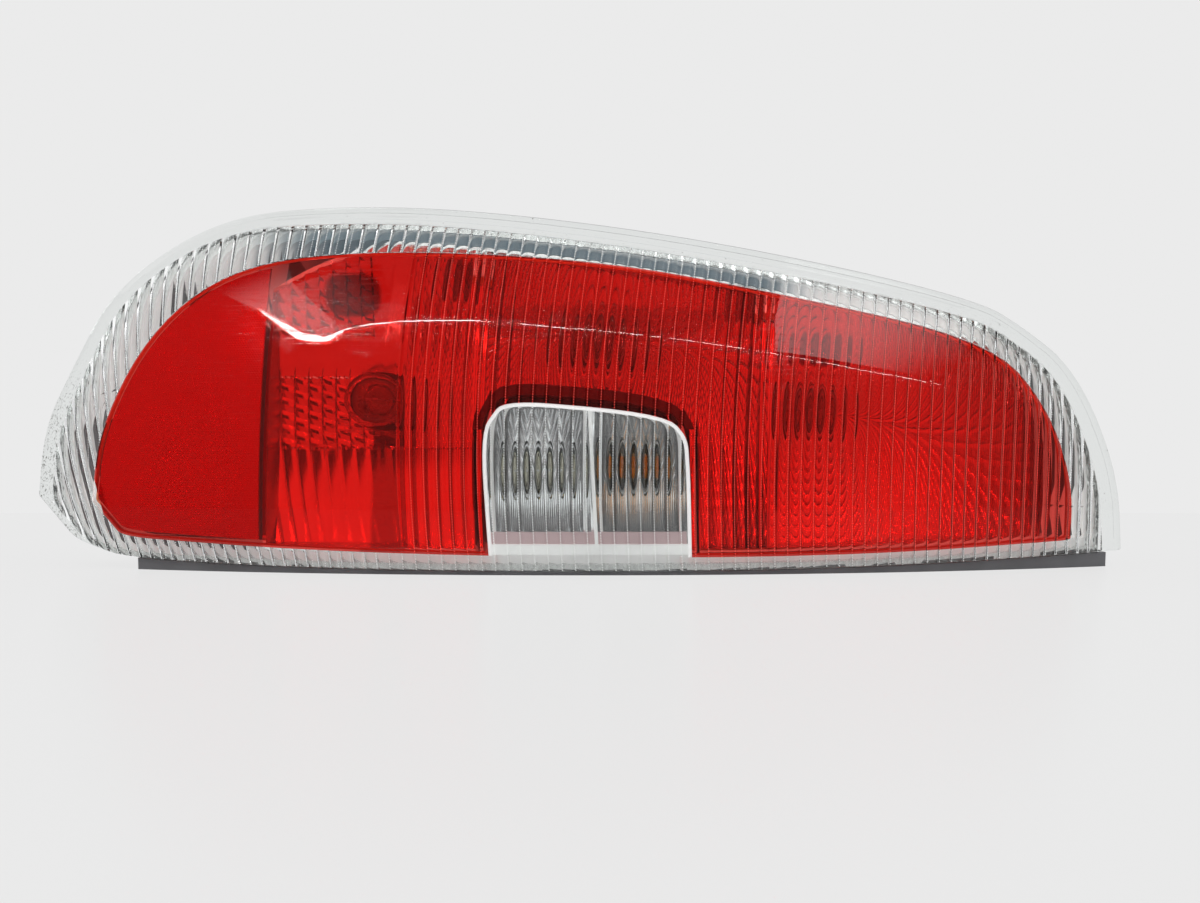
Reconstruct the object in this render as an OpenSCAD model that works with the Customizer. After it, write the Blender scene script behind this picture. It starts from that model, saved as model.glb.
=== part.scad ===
// Rear lamp of a car, lying on its long inboard edge with the lens towards -Y.
// X runs along the lamp, Z is up, and depths are measured from the foremost line of the lens.

/* [Lens] */
// Length of the lamp over its clear flange
lamp_length = 510; // [490:1:530]
// Height of the lamp over its clear flange
lamp_height = 168; // [160:1:180]
// Radius of the lens face in the upright section through its front
crown_r = 230; // [220:1:260]
// Height of the foremost line of the lens face
crown_z = 25; // [20:1:30]
// Radius of the lens face along the lamp
sweep_r = 500; // [480:1:600]
// Wall of the lens where it is smooth
lens_wall = 3.4; // [3.2:0.1:4.5]
// Wall of the lens over the middle of a flute
flute_wall = 1.8; // [1.5:0.1:2]
// Distance from one flute to the next
flute_pitch = 5.9; // [5.6:0.1:6.4]
// Radius of a flute's hollow
flute_r = 5; // [4.6:0.1:6]
// Place along the lamp where the flutes of the red lens begin
flutes_from = -80; // [-90:1:-60]
// Depth of the skirt wall round the lens
skirt_depth = 14; // [10:0.5:16]
// Wall of the skirt
skirt_wall = 2.6; // [2:0.1:3.5]
// Width of the clear flange at the left
flange_left = 10.5; // [8:0.5:12]
// Width of the clear flange at the top
flange_top = 10; // [8:0.5:12]
// Width of the clear flange at the right
flange_right = 13; // [10:0.5:14]
// Step from the lens face back to the flange
flange_step = 6; // [5:0.5:8]
// Thickness of the flange
flange_wall = 2.5; // [2:0.1:3.5]

/* [Window] */
// Left edge of the clear window
window_left = -43; // [-46:1:-40]
// Right edge of the clear window
window_right = 48; // [46:1:52]
// Top of the clear window at its left corner
window_top = 76; // [72:1:80]
// Width of the white border round the window
border_w = 1.7; // [1.4:0.1:2.4]
// Depth of the white border behind the lens face
border_depth = 12; // [8:1:16]
// Place of the partition between the reversing and indicator chambers
window_split = 5.5; // [2:0.5:8]

/* [Housing] */
// Depth from the lens's foremost line to the back of the housing
housing_depth = 114; // [113:1:120]
// Wall of the housing
housing_wall = 2.5; // [2:0.1:3]
// Depth of the back face of the recess that takes the bulb carrier
recess_depth = 86.5; // [84:0.5:88]
// Inset of the housing's side from the lens skirt
housing_inset = 4; // [3:0.5:6]
// Left edge of the bulb carrier's recess
recess_left = -122; // [-126:1:-118]
// Right edge of the bulb carrier's recess
recess_right = 150; // [146:1:154]
// Bottom edge of the bulb carrier's recess
recess_bottom = 22; // [20:1:24]
// Top edge of the bulb carrier's recess
recess_top = 128; // [126:1:130]

/* [Chambers] */
// Right edge of the reflex reflector
reflex_right = -142; // [-150:1:-136]
// Partition between the left and middle chambers
split_left = -44.5; // [-48:0.5:-44]
// Partition between the middle and right chambers
split_right = 84; // [78:1:90]
// Wall of a reflector
reflector_wall = 1.6; // [1.2:0.1:2]
// Gap between the reflectors and the lens face
reflector_gap = 14; // [12.5:0.5:18]
// Radius of a reflector's bowl
bowl_r = 170; // [150:1:240]
// Gap between the large bowls' deepest points and the carrier's recess
bowl_gap = 7.5; // [6.5:0.5:12]
// Radius of the bowls behind the clear window
small_bowl_r = 42; // [38:1:60]
// Gap between the small bowls' deepest points and the carrier's recess
small_bowl_gap = 20.5; // [16:0.5:26]

/* [Bulbs] */
// Radius of a bulb's glass
bulb_r = 12.5; // [11:0.1:13]
// Reach of the middle of each bulb's glass in front of the carrier's recess
bulb_reach = 36; // [32:0.5:40]
// Radius of a bulb's cap
cap_r = 7.5; // [7:0.1:8]
// Length of a bulb's cap
cap_length = 20; // [18:0.5:22]
// Radius of the hole that a bulb passes through
bulb_hole_r = 14; // [13.5:0.1:15]
// Thickness of the bulb carrier
carrier_wall = 3; // [2.5:0.1:4]
// Thickness of the carrier's gasket
gasket_t = 2.5; // [2:0.1:3]
// Thickness of the contact strips
strip_t = 1.2; // [0.8:0.1:1.5]
// Width of the contact strips
strip_w = 4; // [3:0.1:5]

/* [Fixings] */
// Radius of a fixing stud
stud_r = 3; // [2.5:0.5:4]
// Length of a stud behind the housing
stud_length = 24; // [18:1:30]
// Radius of the locating peg
peg_r = 4; // [3:0.5:5]
// Length of the locating peg
peg_length = 16; // [12:1:20]
// Thickness of the foam seal
seal_t = 6; // [4:0.5:8]
// Width of the foam seal
seal_w = 6; // [5:0.5:7]

/* [Hidden] */
$fn = 48;
clear = 0.2;
seam = 0.05;
steps = 3;

// Control points of the flange's edge as shares of its length and height, with how round each is
flange_shape = [[-.502, .196, .1], [-.461, .077, .4], [-.414, .03, .7], [-.194, .008, 1], [.212, .008, 1],
  [.5, .042, .05], [.496, .262, 1], [.459, .548, 1], [.408, .667, 1], [.363, .744, 1], [.114, .893, 1],
  [-.096, .982, 1], [-.222, 1.006, 1], [-.343, .994, 1], [-.441, .798, 1], [-.476, .542, 1],
  [-.498, .393, 1]];
// Control points of the red lens in the same shares
red_shape = [[-.439, .185, .08], [-.408, .089, .3], [-.188, .054, 1], [.192, .042, 1], [.441, .077, .08],
  [.443, .238, 1], [.42, .446, 1], [.369, .619, 1], [.175, .738, 1], [.014, .827, 1], [-.19, .863, 1],
  [-.314, .827, 1], [-.388, .661, 1], [-.433, .387, 1]];
// Control points of the window, going below the red lens's lower edge
window_points = [[window_left + 5, -6, .02], [window_right + 1, -6, .02], [window_right, window_top - 34, .5],
  [window_right - 1, window_top - 17, .6], [window_right - 10, window_top - 6, 1],
  [window_left + 10, window_top, .6], [window_left, window_top - 14, .7]];
carrier_points = [[recess_left, recess_bottom, .12], [recess_right, recess_bottom, .12],
  [recess_right, recess_top - 30, .3], [10, recess_top, .3], [recess_left, recess_top, .2]];

// A place in the front view as hundredths of the lamp's length and height
function at(x, z) = [x * lamp_length / 100, z * lamp_height / 100];

left_bulb_at = [recess_left + 27, .4583 * lamp_height];
middle_bulb_at = [(window_left + window_right) / 2 + 6.5, .631 * lamp_height];
right_bulb_at = [recess_right - 44, .43 * lamp_height];
reversing_bulb_at = [(window_left + window_split) / 2 - 0.25, window_top * .59];
indicator_bulb_at = [(window_split + window_right) / 2 - 1.75, window_top * .61];
bulb_places = [left_bulb_at, middle_bulb_at, right_bulb_at, reversing_bulb_at, indicator_bulb_at];
stud_places = [at(-33.7, 34.5), at(-29, 66.7), at(36.5, 36.9)];
peg_at = at(40.4, 16.7);
vent_at = at(-38.4, 54.8);
screw_places = [[recess_left + 12, recess_bottom + 12], [recess_right - 14, recess_bottom + 12],
  [recess_left + 12, recess_top - 14]];
connector_at = [split_right - 11, recess_bottom + 40];
pin_step = 6;
pin_count = 6;
screw_r = 2;
screw_head_r = 4;
screw_head_t = 2.4;
screw_length = 10;
boss_r = 5;
boss_length = 6;

// The origin is under the middle of the lamp's depth
front_y = -(housing_depth + stud_length) / 2;
bowl_depth = recess_depth - bowl_gap;
small_bowl_depth = recess_depth - small_bowl_gap;
bulb_depth = recess_depth - bulb_reach;
plate_front = recess_depth + gasket_t;
plate_back = plate_front + carrier_wall;
cap_back = plate_front - strip_t - 0.3;
cap_front = cap_back - cap_length;
cup_r = cap_r + 3.5;
cup_front = plate_front - 16;

// Corners of an outline in millimetres
function sized(shape) = [for (p = shape) [p[0] * lamp_length, p[1] * lamp_height, p[2]]];

// Quarter of a smooth bend from a to c about b
function bend(a, b, c, t) = (1 - t) * (1 - t) * a + 2 * t * (1 - t) * b + t * t * c;

// Smooth closed curve about control points, each with its own roundness
function curve(p) = [for (i = [0:len(p) - 1])
  let (n = len(p), u = p[(i + n - 1) % n], v = p[i], w = p[(i + 1) % n],
       b = [v[0], v[1]], s = b + v[2] * ([u[0], u[1]] - b) / 2, e = b + v[2] * ([w[0], w[1]] - b) / 2)
  for (j = [0:(v[2] + w[2] < 2 ? steps : steps - 1)]) bend(s, b, e, j / steps)];

// Outward normal and offset of the edge from a to b, moved out by a width that follows its direction
function edge(a, b, grown) =
  let (d = [b[0] - a[0], b[1] - a[1]] / norm([b[0] - a[0], b[1] - a[1]]), n = [d[1], -d[0]],
       side = n[0] > 0 ? grown[2] : grown[0], cap = n[1] > 0 ? grown[1] : grown[3])
  [n[0], n[1], n * [a[0], a[1]] + side * n[0] * n[0] + cap * n[1] * n[1]];

// Where two moved edges cross
function crossing(f, g) = let (det = f[0] * g[1] - f[1] * g[0])
  [(f[2] * g[1] - g[2] * f[1]) / det, (f[0] * g[2] - g[0] * f[2]) / det];

// Control points moved outward by [left, top, right, bottom]
function grow(p, grown) = [for (i = [0:len(p) - 1])
  let (n = len(p), c = crossing(edge(p[(i + n - 1) % n], p[i], grown), edge(p[i], p[(i + 1) % n], grown)))
  [c[0], c[1], p[i][2]]];

flange_points = sized(flange_shape);
red_points = sized(red_shape);
flange_widths = [flange_left, flange_top, flange_right, 0.6];
face_points = grow(flange_points, -flange_widths);

// The lens face's outline moved inward by one width all round
module face_outline(inset = 0) {
  polygon(curve(grow(face_points, -[inset, inset, inset, inset])));
}

module window_outline(inset = 0) {
  polygon(curve(grow(window_points, -[inset, inset, inset, 0])));
}

module red_outline() {
  difference() {
    polygon(curve(red_points));
    window_outline();
  }
}

// White strip between the window and the red lens
module border_outline() {
  intersection() {
    difference() {
      window_outline(seam);
      window_outline(border_w);
    }
    polygon(curve(red_points));
  }
}

// Ribbed band with the clear window that grows out of its lower side
module clear_outline() {
  difference() {
    face_outline();
    difference() {
      polygon(curve(red_points));
      window_outline(border_w + seam);
    }
  }
}

// A shape in the front view pushed back from y0 to y1
module prism(y0, y1) {
  translate([0, y1, 0]) rotate([90, 0, 0]) linear_extrude(y1 - y0) children();
}

// Section of everything behind the lens face moved back by t
module behind_section(t) {
  intersection() {
    translate([crown_r - sweep_r, 0]) circle(r = sweep_r - t, $fn = 360);
    translate([0, -lamp_length * .54]) square([crown_r, lamp_length * 1.08]);
  }
}

// The body turned from a section about the lens's long axis
module turned() {
  translate([0, crown_r, crown_z]) rotate([0, 90, 0]) rotate_extrude($fn = 240) children();
}

module behind(t) {
  turned() behind_section(t);
}

// Everything behind the fluted inner face of the lens
module behind_flutes(from, to) {
  first = ceil(from / flute_pitch);
  last = floor(to / flute_pitch);
  ring = sweep_r - flute_wall - flute_r;
  turned() {
    behind_section(lens_wall);
    for (i = [first:last]) {
      turn = asin(i * flute_pitch / sweep_r);
      translate([crown_r - sweep_r + ring * cos(turn), ring * sin(turn)]) circle(r = flute_r, $fn = 48);
    }
  }
}

// Wall that follows the lens face between two depths
module layer(t0, t1) {
  difference() {
    intersection() {
      prism(-1, housing_depth + 20) children();
      behind(t0);
    }
    behind(t1);
  }
}

module fluted_layer(from, to) {
  difference() {
    intersection() {
      prism(-1, housing_depth) children();
      behind(0);
    }
    behind_flutes(from, to);
  }
}

// Clear shot of the lens: ribbed band, window, skirt and flange
module clear_lens() {
  color([.86, .9, .9, .45]) {
    fluted_layer(-lamp_length / 2, lamp_length / 2) clear_outline();
    layer(1, skirt_depth) difference() {
      face_outline();
      face_outline(skirt_wall);
    }
    layer(flange_step, flange_step + flange_wall) difference() {
      polygon(curve(flange_points));
      face_outline(skirt_wall / 2);
    }
  }
}

// Red shot of the lens, fluted to the right of the reflex reflector
module red_lens() {
  color([.78, .02, .03, .75]) fluted_layer(flutes_from, lamp_length / 2) red_outline();
}

module window_border() {
  color("white") {
    layer(0.3, border_depth) border_outline();
    layer(lens_wall + clear, border_depth) intersection() {
      translate([window_split - border_w / 2, 0]) square([border_w, window_top]);
      window_outline(border_w / 2);
      polygon(curve(red_points));
    }
  }
}

module reflex_reflector() {
  color([.7, .02, .04]) layer(lens_wall + clear, lens_wall + clear + 2.4) intersection() {
    polygon(curve(grow(red_points, -[3, 3, 3, 3])));
    translate([-lamp_length / 2, 0]) square([lamp_length / 2 + reflex_right, lamp_height]);
  }
}

// Inside of the housing in the front view
module housing_inside(inset = 0) {
  face_outline(housing_inset + housing_wall + inset);
}

module recess_outline(inset = 0) {
  polygon(curve(grow(carrier_points, -[inset, inset, inset, inset])));
}

module housing() {
  sole_left = -.394 * lamp_length;
  sole_right = .48 * lamp_length;
  web_step = lamp_length / 8;
  color([.16, .16, .17]) difference() {
    union() {
      // Flange that the lens skirt is welded to
      layer(skirt_depth + seam, skirt_depth + 4) difference() {
        face_outline();
        housing_inside();
      }
      // Side wall
      intersection() {
        prism(0, housing_depth) difference() {
          face_outline(housing_inset);
          housing_inside();
        }
        behind(skirt_depth + 2);
      }
      // Back wall round the carrier's recess
      prism(housing_depth - housing_wall, housing_depth) difference() {
        face_outline(housing_inset + housing_wall / 2);
        recess_outline(-1);
      }
      // Walls and floor of the recess
      prism(recess_depth - housing_wall, housing_depth) difference() {
        recess_outline(-housing_wall);
        recess_outline();
      }
      prism(recess_depth - housing_wall, recess_depth) recess_outline(-1);
      // Sole under the lens's lower edge
      intersection() {
        prism(0, housing_depth) difference() {
          translate([sole_left, 0]) square([sole_right - sole_left, 8]);
          polygon(curve(grow(flange_points, [seam, seam, seam, seam])));
        }
        behind(2);
      }
      // Webs from the sole to the side wall
      for (x = [-2.5 * web_step:web_step:2.5 * web_step]) {
        intersection() {
          prism(0, housing_depth) difference() {
            translate([x, 0.5]) square([housing_wall, 16]);
            housing_inside();
          }
          behind(skirt_depth + 1);
        }
      }
      // Bosses of the carrier's screws
      for (p = screw_places) {
        translate([p[0], recess_depth - 1 - boss_length, p[1]]) rotate([-90, 0, 0])
          cylinder(r = boss_r, h = boss_length);
      }
      // Pads under the studs
      for (p = stud_places) {
        translate([p[0], housing_depth - 1, p[1]]) rotate([-90, 0, 0]) cylinder(r = 9, h = 4);
      }
    }
    for (p = bulb_places) {
      translate([p[0], recess_depth - 10, p[1]]) rotate([-90, 0, 0]) cylinder(r = bulb_hole_r, h = 20);
    }
    for (p = screw_places) {
      translate([p[0], recess_depth - boss_length, p[1]]) rotate([-90, 0, 0])
        cylinder(r = screw_r + 0.05, h = 2 * boss_length);
    }
    for (p = stud_places) {
      translate([p[0], housing_depth - 8, p[1]]) rotate([-90, 0, 0]) cylinder(r = stud_r + 0.05, h = 20);
    }
    translate([peg_at[0], housing_depth - 8, peg_at[1]]) rotate([-90, 0, 0])
      cylinder(r = peg_r + 0.05, h = 20);
    translate([vent_at[0], housing_depth - 8, vent_at[1]]) rotate([-90, 0, 0]) cylinder(r = 4, h = 20);
  }
}

// Metallised cup: side walls along the cell and a bowl behind them, with a hole and collar for its bulb.
// The children are the cell's outline and the same outline inside the wall.
module reflector(centre, depth, r, bulb_at) {
  hole_r = bulb_r + 1.2;
  collar_r = hole_r + reflector_wall;
  color([.8, .81, .82]) difference() {
    union() {
      intersection() {
        prism(0, depth + reflector_wall) children(0);
        difference() {
          translate([centre[0], depth - r, centre[1]]) sphere(r = r + reflector_wall, $fn = 96);
          intersection() {
            translate([centre[0], depth - r, centre[1]]) sphere(r = r, $fn = 96);
            prism(-1, depth + 1) children(1);
          }
        }
        behind(reflector_gap);
      }
      translate([bulb_at[0], depth - 12, bulb_at[1]]) rotate([-90, 0, 0])
        cylinder(r = collar_r, h = recess_depth - housing_wall - clear - depth + 12);
    }
    translate([bulb_at[0], 0, bulb_at[1]]) rotate([-90, 0, 0]) cylinder(r = hole_r, h = housing_depth);
    intersection() {
      translate([centre[0], depth - r, centre[1]]) sphere(r = r, $fn = 96);
      prism(-1, depth + 1) children(1);
    }
  }
}

// Part of the housing between two partitions
module cell(from, to, inset) {
  intersection() {
    housing_inside(0.5 + inset);
    translate([from + inset, 0]) square([to - from - 2 * inset, lamp_height]);
  }
}

module left_reflector() {
  reflector(left_bulb_at - [0, 3], bowl_depth, bowl_r, left_bulb_at) {
    cell(reflex_right, split_left - clear, 0);
    cell(reflex_right, split_left - clear, reflector_wall);
  }
}

// The middle chamber goes over the window and down its right side
module middle_cell(inset) {
  difference() {
    cell(split_left + clear, split_right - clear, inset);
    window_outline(-1 - reflector_wall - inset);
    translate([split_left - 1, 0]) square([20, window_top - 20]);
  }
}

module middle_reflector() {
  reflector(middle_bulb_at + [11, -16], bowl_depth, bowl_r, middle_bulb_at) {
    middle_cell(0);
    middle_cell(reflector_wall);
  }
}

module right_reflector() {
  right_end = .424 * lamp_length;
  reflector(right_bulb_at + [44, -10], bowl_depth, bowl_r, right_bulb_at) {
    cell(split_right + clear, right_end, 0);
    cell(split_right + clear, right_end, reflector_wall);
  }
}

// Half of the window chamber
module window_cell(from, to, inset) {
  intersection() {
    window_outline(inset);
    translate([from + inset, 9.5 + inset]) square([to - from - 2 * inset, window_top]);
  }
}

module reversing_reflector() {
  reflector(reversing_bulb_at - [0, 3], small_bowl_depth, small_bowl_r, reversing_bulb_at) {
    window_cell(window_left, window_split - 0.1, 0);
    window_cell(window_left, window_split - 0.1, reflector_wall);
  }
}

module indicator_reflector() {
  reflector(indicator_bulb_at + [2, -4], small_bowl_depth, small_bowl_r, indicator_bulb_at) {
    window_cell(window_split + 0.1, window_right + 2, 0);
    window_cell(window_split + 0.1, window_right + 2, reflector_wall);
  }
}

// One bar of a contact strip from a to b in the front view
module bar(a, b, w) {
  low = [min(a[0], b[0]) - w / 2, min(a[1], b[1]) - w / 2];
  high = [max(a[0], b[0]) + w / 2, max(a[1], b[1]) + w / 2];
  translate(low) square(high - low);
}

// Centre of a connector pin
function pin_x(i) = connector_at[0] + (i - (pin_count - 1) / 2) * pin_step;

low_run = recess_bottom + 9;
mid_run = recess_bottom + 24;

// Routes of the contact strips, each a list of corners
strip_routes = [
  [left_bulb_at, [pin_x(0), left_bulb_at[1]], [pin_x(0), connector_at[1]]],
  [middle_bulb_at, [pin_x(1), middle_bulb_at[1]], [pin_x(1), connector_at[1]]],
  [indicator_bulb_at, [pin_x(2), indicator_bulb_at[1]], [pin_x(2), connector_at[1]]],
  [reversing_bulb_at, [reversing_bulb_at[0], low_run], [pin_x(3), low_run], [pin_x(3), connector_at[1]]],
  [right_bulb_at - [0, 8], [right_bulb_at[0], mid_run], [pin_x(4), mid_run], [pin_x(4), connector_at[1]]],
  [right_bulb_at, [pin_x(5), right_bulb_at[1]], [pin_x(5), connector_at[1]]]];

module strip(route, w) {
  for (i = [0:len(route) - 2]) bar(route[i], route[i + 1], w);
}

// Blades of the connector
module blades(grown, y0, y1) {
  for (i = [0:pin_count - 1]) {
    translate([pin_x(i) - 0.4 - grown, y0, connector_at[1] - 1.4 - grown])
      cube([0.8 + 2 * grown, y1 - y0, 2.8 + 2 * grown]);
  }
}

module contact_strips() {
  color([.8, .65, .3]) {
    for (route = strip_routes) prism(plate_front - strip_t - 0.05, plate_front - 0.05) strip(route, strip_w);
    blades(0, plate_front - strip_t, plate_back + 12);
  }
}

module bulb_carrier() {
  shroud_w = pin_count * pin_step + 6;
  shroud_h = 16;
  shroud_depth = 18;
  color([.82, .82, .8]) difference() {
    union() {
      prism(plate_front, plate_back) recess_outline(1);
      for (p = bulb_places) {
        translate([p[0], cup_front, p[1]]) rotate([-90, 0, 0])
          cylinder(r = cup_r, h = plate_back - cup_front);
      }
      translate([connector_at[0] - shroud_w / 2, plate_back - 1, connector_at[1] - shroud_h / 2])
        cube([shroud_w, shroud_depth + 1, shroud_h]);
      // Grip bridge and stiffening ribs on the back
      for (z = [recess_bottom + 8, recess_top - 12]) {
        translate([recess_left + 24, plate_back - 1, z]) cube([(recess_right - recess_left) * .37, 5, 2]);
      }
      for (x = [recess_left + 62, recess_left + 92, recess_right - 40]) {
        translate([x, plate_back - 1, recess_bottom + 10]) cube([2, 5, (recess_top - recess_bottom) * .56]);
      }
    }
    // Seats of the bulb caps
    for (p = bulb_places) {
      translate([p[0], cup_front - 1, p[1]]) rotate([-90, 0, 0])
        cylinder(r = cap_r + 0.1, h = plate_front - cup_front + 1);
    }
    for (route = strip_routes) prism(plate_front - strip_t - 0.3, plate_front) strip(route, strip_w + 0.4);
    translate([connector_at[0] - shroud_w / 2 + 2, plate_back + 1, connector_at[1] - shroud_h / 2 + 2])
      cube([shroud_w - 4, shroud_depth, shroud_h - 4]);
    blades(0.1, plate_front - 1, plate_back + 2);
    for (p = screw_places) {
      translate([p[0], plate_front - 1, p[1]]) rotate([-90, 0, 0]) cylinder(r = screw_r + 0.3, h = 10);
    }
  }
}

module carrier_gasket() {
  color([.1, .1, .1]) prism(recess_depth + seam, plate_front - seam) difference() {
    recess_outline(2);
    recess_outline(6);
  }
}

module carrier_screws() {
  color([.7, .7, .72]) for (p = screw_places) {
    translate([p[0], plate_back + seam, p[1]]) rotate([-90, 0, 0]) difference() {
      union() {
        cylinder(r = screw_head_r, h = screw_head_t);
        translate([0, 0, -screw_length]) cylinder(r = screw_r, h = screw_length + 1);
      }
      translate([-2.5, -0.6, screw_head_t - 1]) cube([5, 1.2, 2]);
      translate([-0.6, -2.5, screw_head_t - 1]) cube([1.2, 5, 2]);
    }
  }
}

module bulb_glass(p, tint) {
  color(tint) translate([p[0], 0, p[1]]) rotate([-90, 0, 0]) {
    translate([0, 0, bulb_depth]) sphere(r = bulb_r, $fn = 48);
    translate([0, 0, bulb_depth]) cylinder(r = cap_r - 0.8, h = cap_front - bulb_depth);
  }
}

// Cap with its rim, and the solder contact at its end
module bulb_cap(p) {
  pip = 1.6;
  color([.78, .72, .5]) translate([p[0], 0, p[1]]) rotate([-90, 0, 0]) {
    translate([0, 0, cap_front + seam]) cylinder(r = cap_r, h = cap_length - pip - seam);
    translate([0, 0, cap_back - pip - 0.5]) cylinder(r = 3, h = pip + 0.5);
    translate([0, 0, cap_front + seam]) cylinder(r = cap_r + 1, h = 3);
  }
}

module body_seal() {
  color([.08, .08, .08]) prism(housing_depth + seam, housing_depth + seal_t) difference() {
    face_outline(housing_inset + 2);
    face_outline(housing_inset + 2 + seal_w);
  }
}

module fixing_studs() {
  color([.75, .75, .77]) for (p = stud_places) {
    translate([p[0], housing_depth - 7, p[1]]) rotate([-90, 0, 0]) cylinder(r = stud_r, h = 7 + stud_length);
    translate([p[0], housing_depth + 3 + seam, p[1]]) rotate([-90, 0, 0]) cylinder(r = 6, h = 3, $fn = 6);
  }
}

module locating_peg() {
  color([.85, .85, .83]) translate([peg_at[0], housing_depth, peg_at[1]]) rotate([-90, 0, 0]) {
    translate([0, 0, -6]) cylinder(r = peg_r, h = peg_length + 6);
    translate([0, 0, seam]) cylinder(r = peg_r + 3, h = 2);
  }
}

// Rubber cap with a rain lip over the vent
module vent_cap() {
  color([.07, .07, .07]) translate([vent_at[0], housing_depth, vent_at[1]]) rotate([-90, 0, 0]) {
    difference() {
      union() {
        translate([0, 0, -6]) cylinder(r = 3.9, h = 10);
        translate([0, 0, seam]) cylinder(r = 8, h = 8);
      }
      translate([0, 0, -7]) cylinder(r = 2.4, h = 13);
      translate([-2, -9, 4]) cube([4, 9, 2]);
    }
  }
}

// Moves a piece from lens depths to the lamp's own origin
module placed() {
  translate([0, front_y, 0]) children();
}

placed() clear_lens();
placed() red_lens();
placed() window_border();
placed() reflex_reflector();
placed() housing();
placed() left_reflector();
placed() middle_reflector();
placed() right_reflector();
placed() reversing_reflector();
placed() indicator_reflector();
placed() bulb_carrier();
placed() carrier_gasket();
placed() contact_strips();
placed() carrier_screws();
placed() bulb_glass(left_bulb_at, [.9, .9, .9, .5]);  // left_bulb_glass
placed() bulb_cap(left_bulb_at);  // left_bulb_cap
placed() bulb_glass(middle_bulb_at, [.9, .9, .9, .5]);  // middle_bulb_glass
placed() bulb_cap(middle_bulb_at);  // middle_bulb_cap
placed() bulb_glass(right_bulb_at, [.9, .9, .9, .5]);  // right_bulb_glass
placed() bulb_cap(right_bulb_at);  // right_bulb_cap
placed() bulb_glass(reversing_bulb_at, [.9, .9, .9, .5]);  // reversing_bulb_glass
placed() bulb_cap(reversing_bulb_at);  // reversing_bulb_cap
placed() bulb_glass(indicator_bulb_at, [1, .5, .05, .8]);  // indicator_bulb_glass
placed() bulb_cap(indicator_bulb_at);  // indicator_bulb_cap
placed() body_seal();
placed() fixing_studs();
placed() locating_peg();
placed() vent_cap();
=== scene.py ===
"""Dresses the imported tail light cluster: lens, reflectors, bulbs and housing, in a pale studio.

Sizes are in millimetres, as the lamp's maker would write them, and MM turns them into metres.
X runs along the lamp, Z is up, and a depth is measured back from the foremost line of the lens.
"""

import logging
import math
from collections.abc import Callable, Sequence
from dataclasses import dataclass, field
from enum import Enum

import bpy
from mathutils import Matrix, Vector

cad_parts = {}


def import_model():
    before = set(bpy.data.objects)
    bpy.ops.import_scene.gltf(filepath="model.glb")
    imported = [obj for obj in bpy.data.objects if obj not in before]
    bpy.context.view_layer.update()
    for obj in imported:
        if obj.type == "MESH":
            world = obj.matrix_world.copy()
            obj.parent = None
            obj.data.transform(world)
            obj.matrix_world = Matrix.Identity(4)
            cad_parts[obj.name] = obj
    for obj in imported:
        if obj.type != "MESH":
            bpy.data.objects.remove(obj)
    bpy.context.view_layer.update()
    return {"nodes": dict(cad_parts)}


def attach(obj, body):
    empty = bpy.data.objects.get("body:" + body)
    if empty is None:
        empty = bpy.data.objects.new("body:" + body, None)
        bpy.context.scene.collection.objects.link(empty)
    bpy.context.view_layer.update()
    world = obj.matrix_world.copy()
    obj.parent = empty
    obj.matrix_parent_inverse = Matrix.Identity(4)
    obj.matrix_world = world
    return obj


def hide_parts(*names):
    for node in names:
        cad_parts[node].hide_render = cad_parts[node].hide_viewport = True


MM = 0.001
LOG = logging.getLogger("tail_light")

Corner = tuple[float, float, float]
Spot = tuple[float, float]


# The bench: small operations that every piece is made with


def deselect() -> None:
    """Leaves nothing selected and no object in edit mode."""
    if bpy.context.object and bpy.context.object.mode != "OBJECT":
        bpy.ops.object.mode_set(mode="OBJECT")
    bpy.ops.object.select_all(action="DESELECT")


def pick(piece: bpy.types.Object) -> None:
    """Makes one object the only selected and active one.

    Args:
        piece: The object to work on.
    """
    deselect()
    piece.select_set(True)
    bpy.context.view_layer.objects.active = piece


def tidy_normals(piece: bpy.types.Object, merge: float = 0.0) -> None:
    """Points a closed mesh's faces outwards.

    Args:
        piece: The mesh object.
        merge: Distance in metres under which doubled corners are merged first.
    """
    pick(piece)
    bpy.ops.object.mode_set(mode="EDIT")
    bpy.ops.mesh.select_all(action="SELECT")
    if merge:
        bpy.ops.mesh.remove_doubles(threshold=merge)
    bpy.ops.mesh.normals_make_consistent(inside=False)
    bpy.ops.object.mode_set(mode="OBJECT")


def smooth(piece: bpy.types.Object, angle: float = 30.0) -> None:
    """Shades a piece smooth up to an angle in degrees."""
    pick(piece)
    bpy.ops.object.shade_smooth_by_angle(angle=math.radians(angle))


def finish_modifier(piece: bpy.types.Object, kind: str, **settings: object) -> None:
    """Adds a modifier and applies it at once.

    Args:
        piece: The object to change.
        kind: Blender's name for the modifier.
        settings: The modifier's own settings.
    """
    pick(piece)
    modifier = piece.modifiers.new(kind.title(), kind)
    for name, value in settings.items():
        setattr(modifier, name, value)
    bpy.ops.object.modifier_apply(modifier=modifier.name)


def cut(piece: bpy.types.Object, tool: bpy.types.Object, how: str = "DIFFERENCE") -> None:
    """Cuts, joins or trims a piece with a solid, which is used up.

    Args:
        piece: The solid that stays.
        tool: The solid that cuts it.
        how: DIFFERENCE, UNION or INTERSECT.
    """
    finish_modifier(piece, "BOOLEAN", operation=how, solver="MANIFOLD", object=tool)
    bpy.data.objects.remove(tool)


def seat(piece: bpy.types.Object) -> None:
    """Moves an object's place into its mesh."""
    pick(piece)
    bpy.ops.object.transform_apply(location=True, rotation=True, scale=True)


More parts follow.
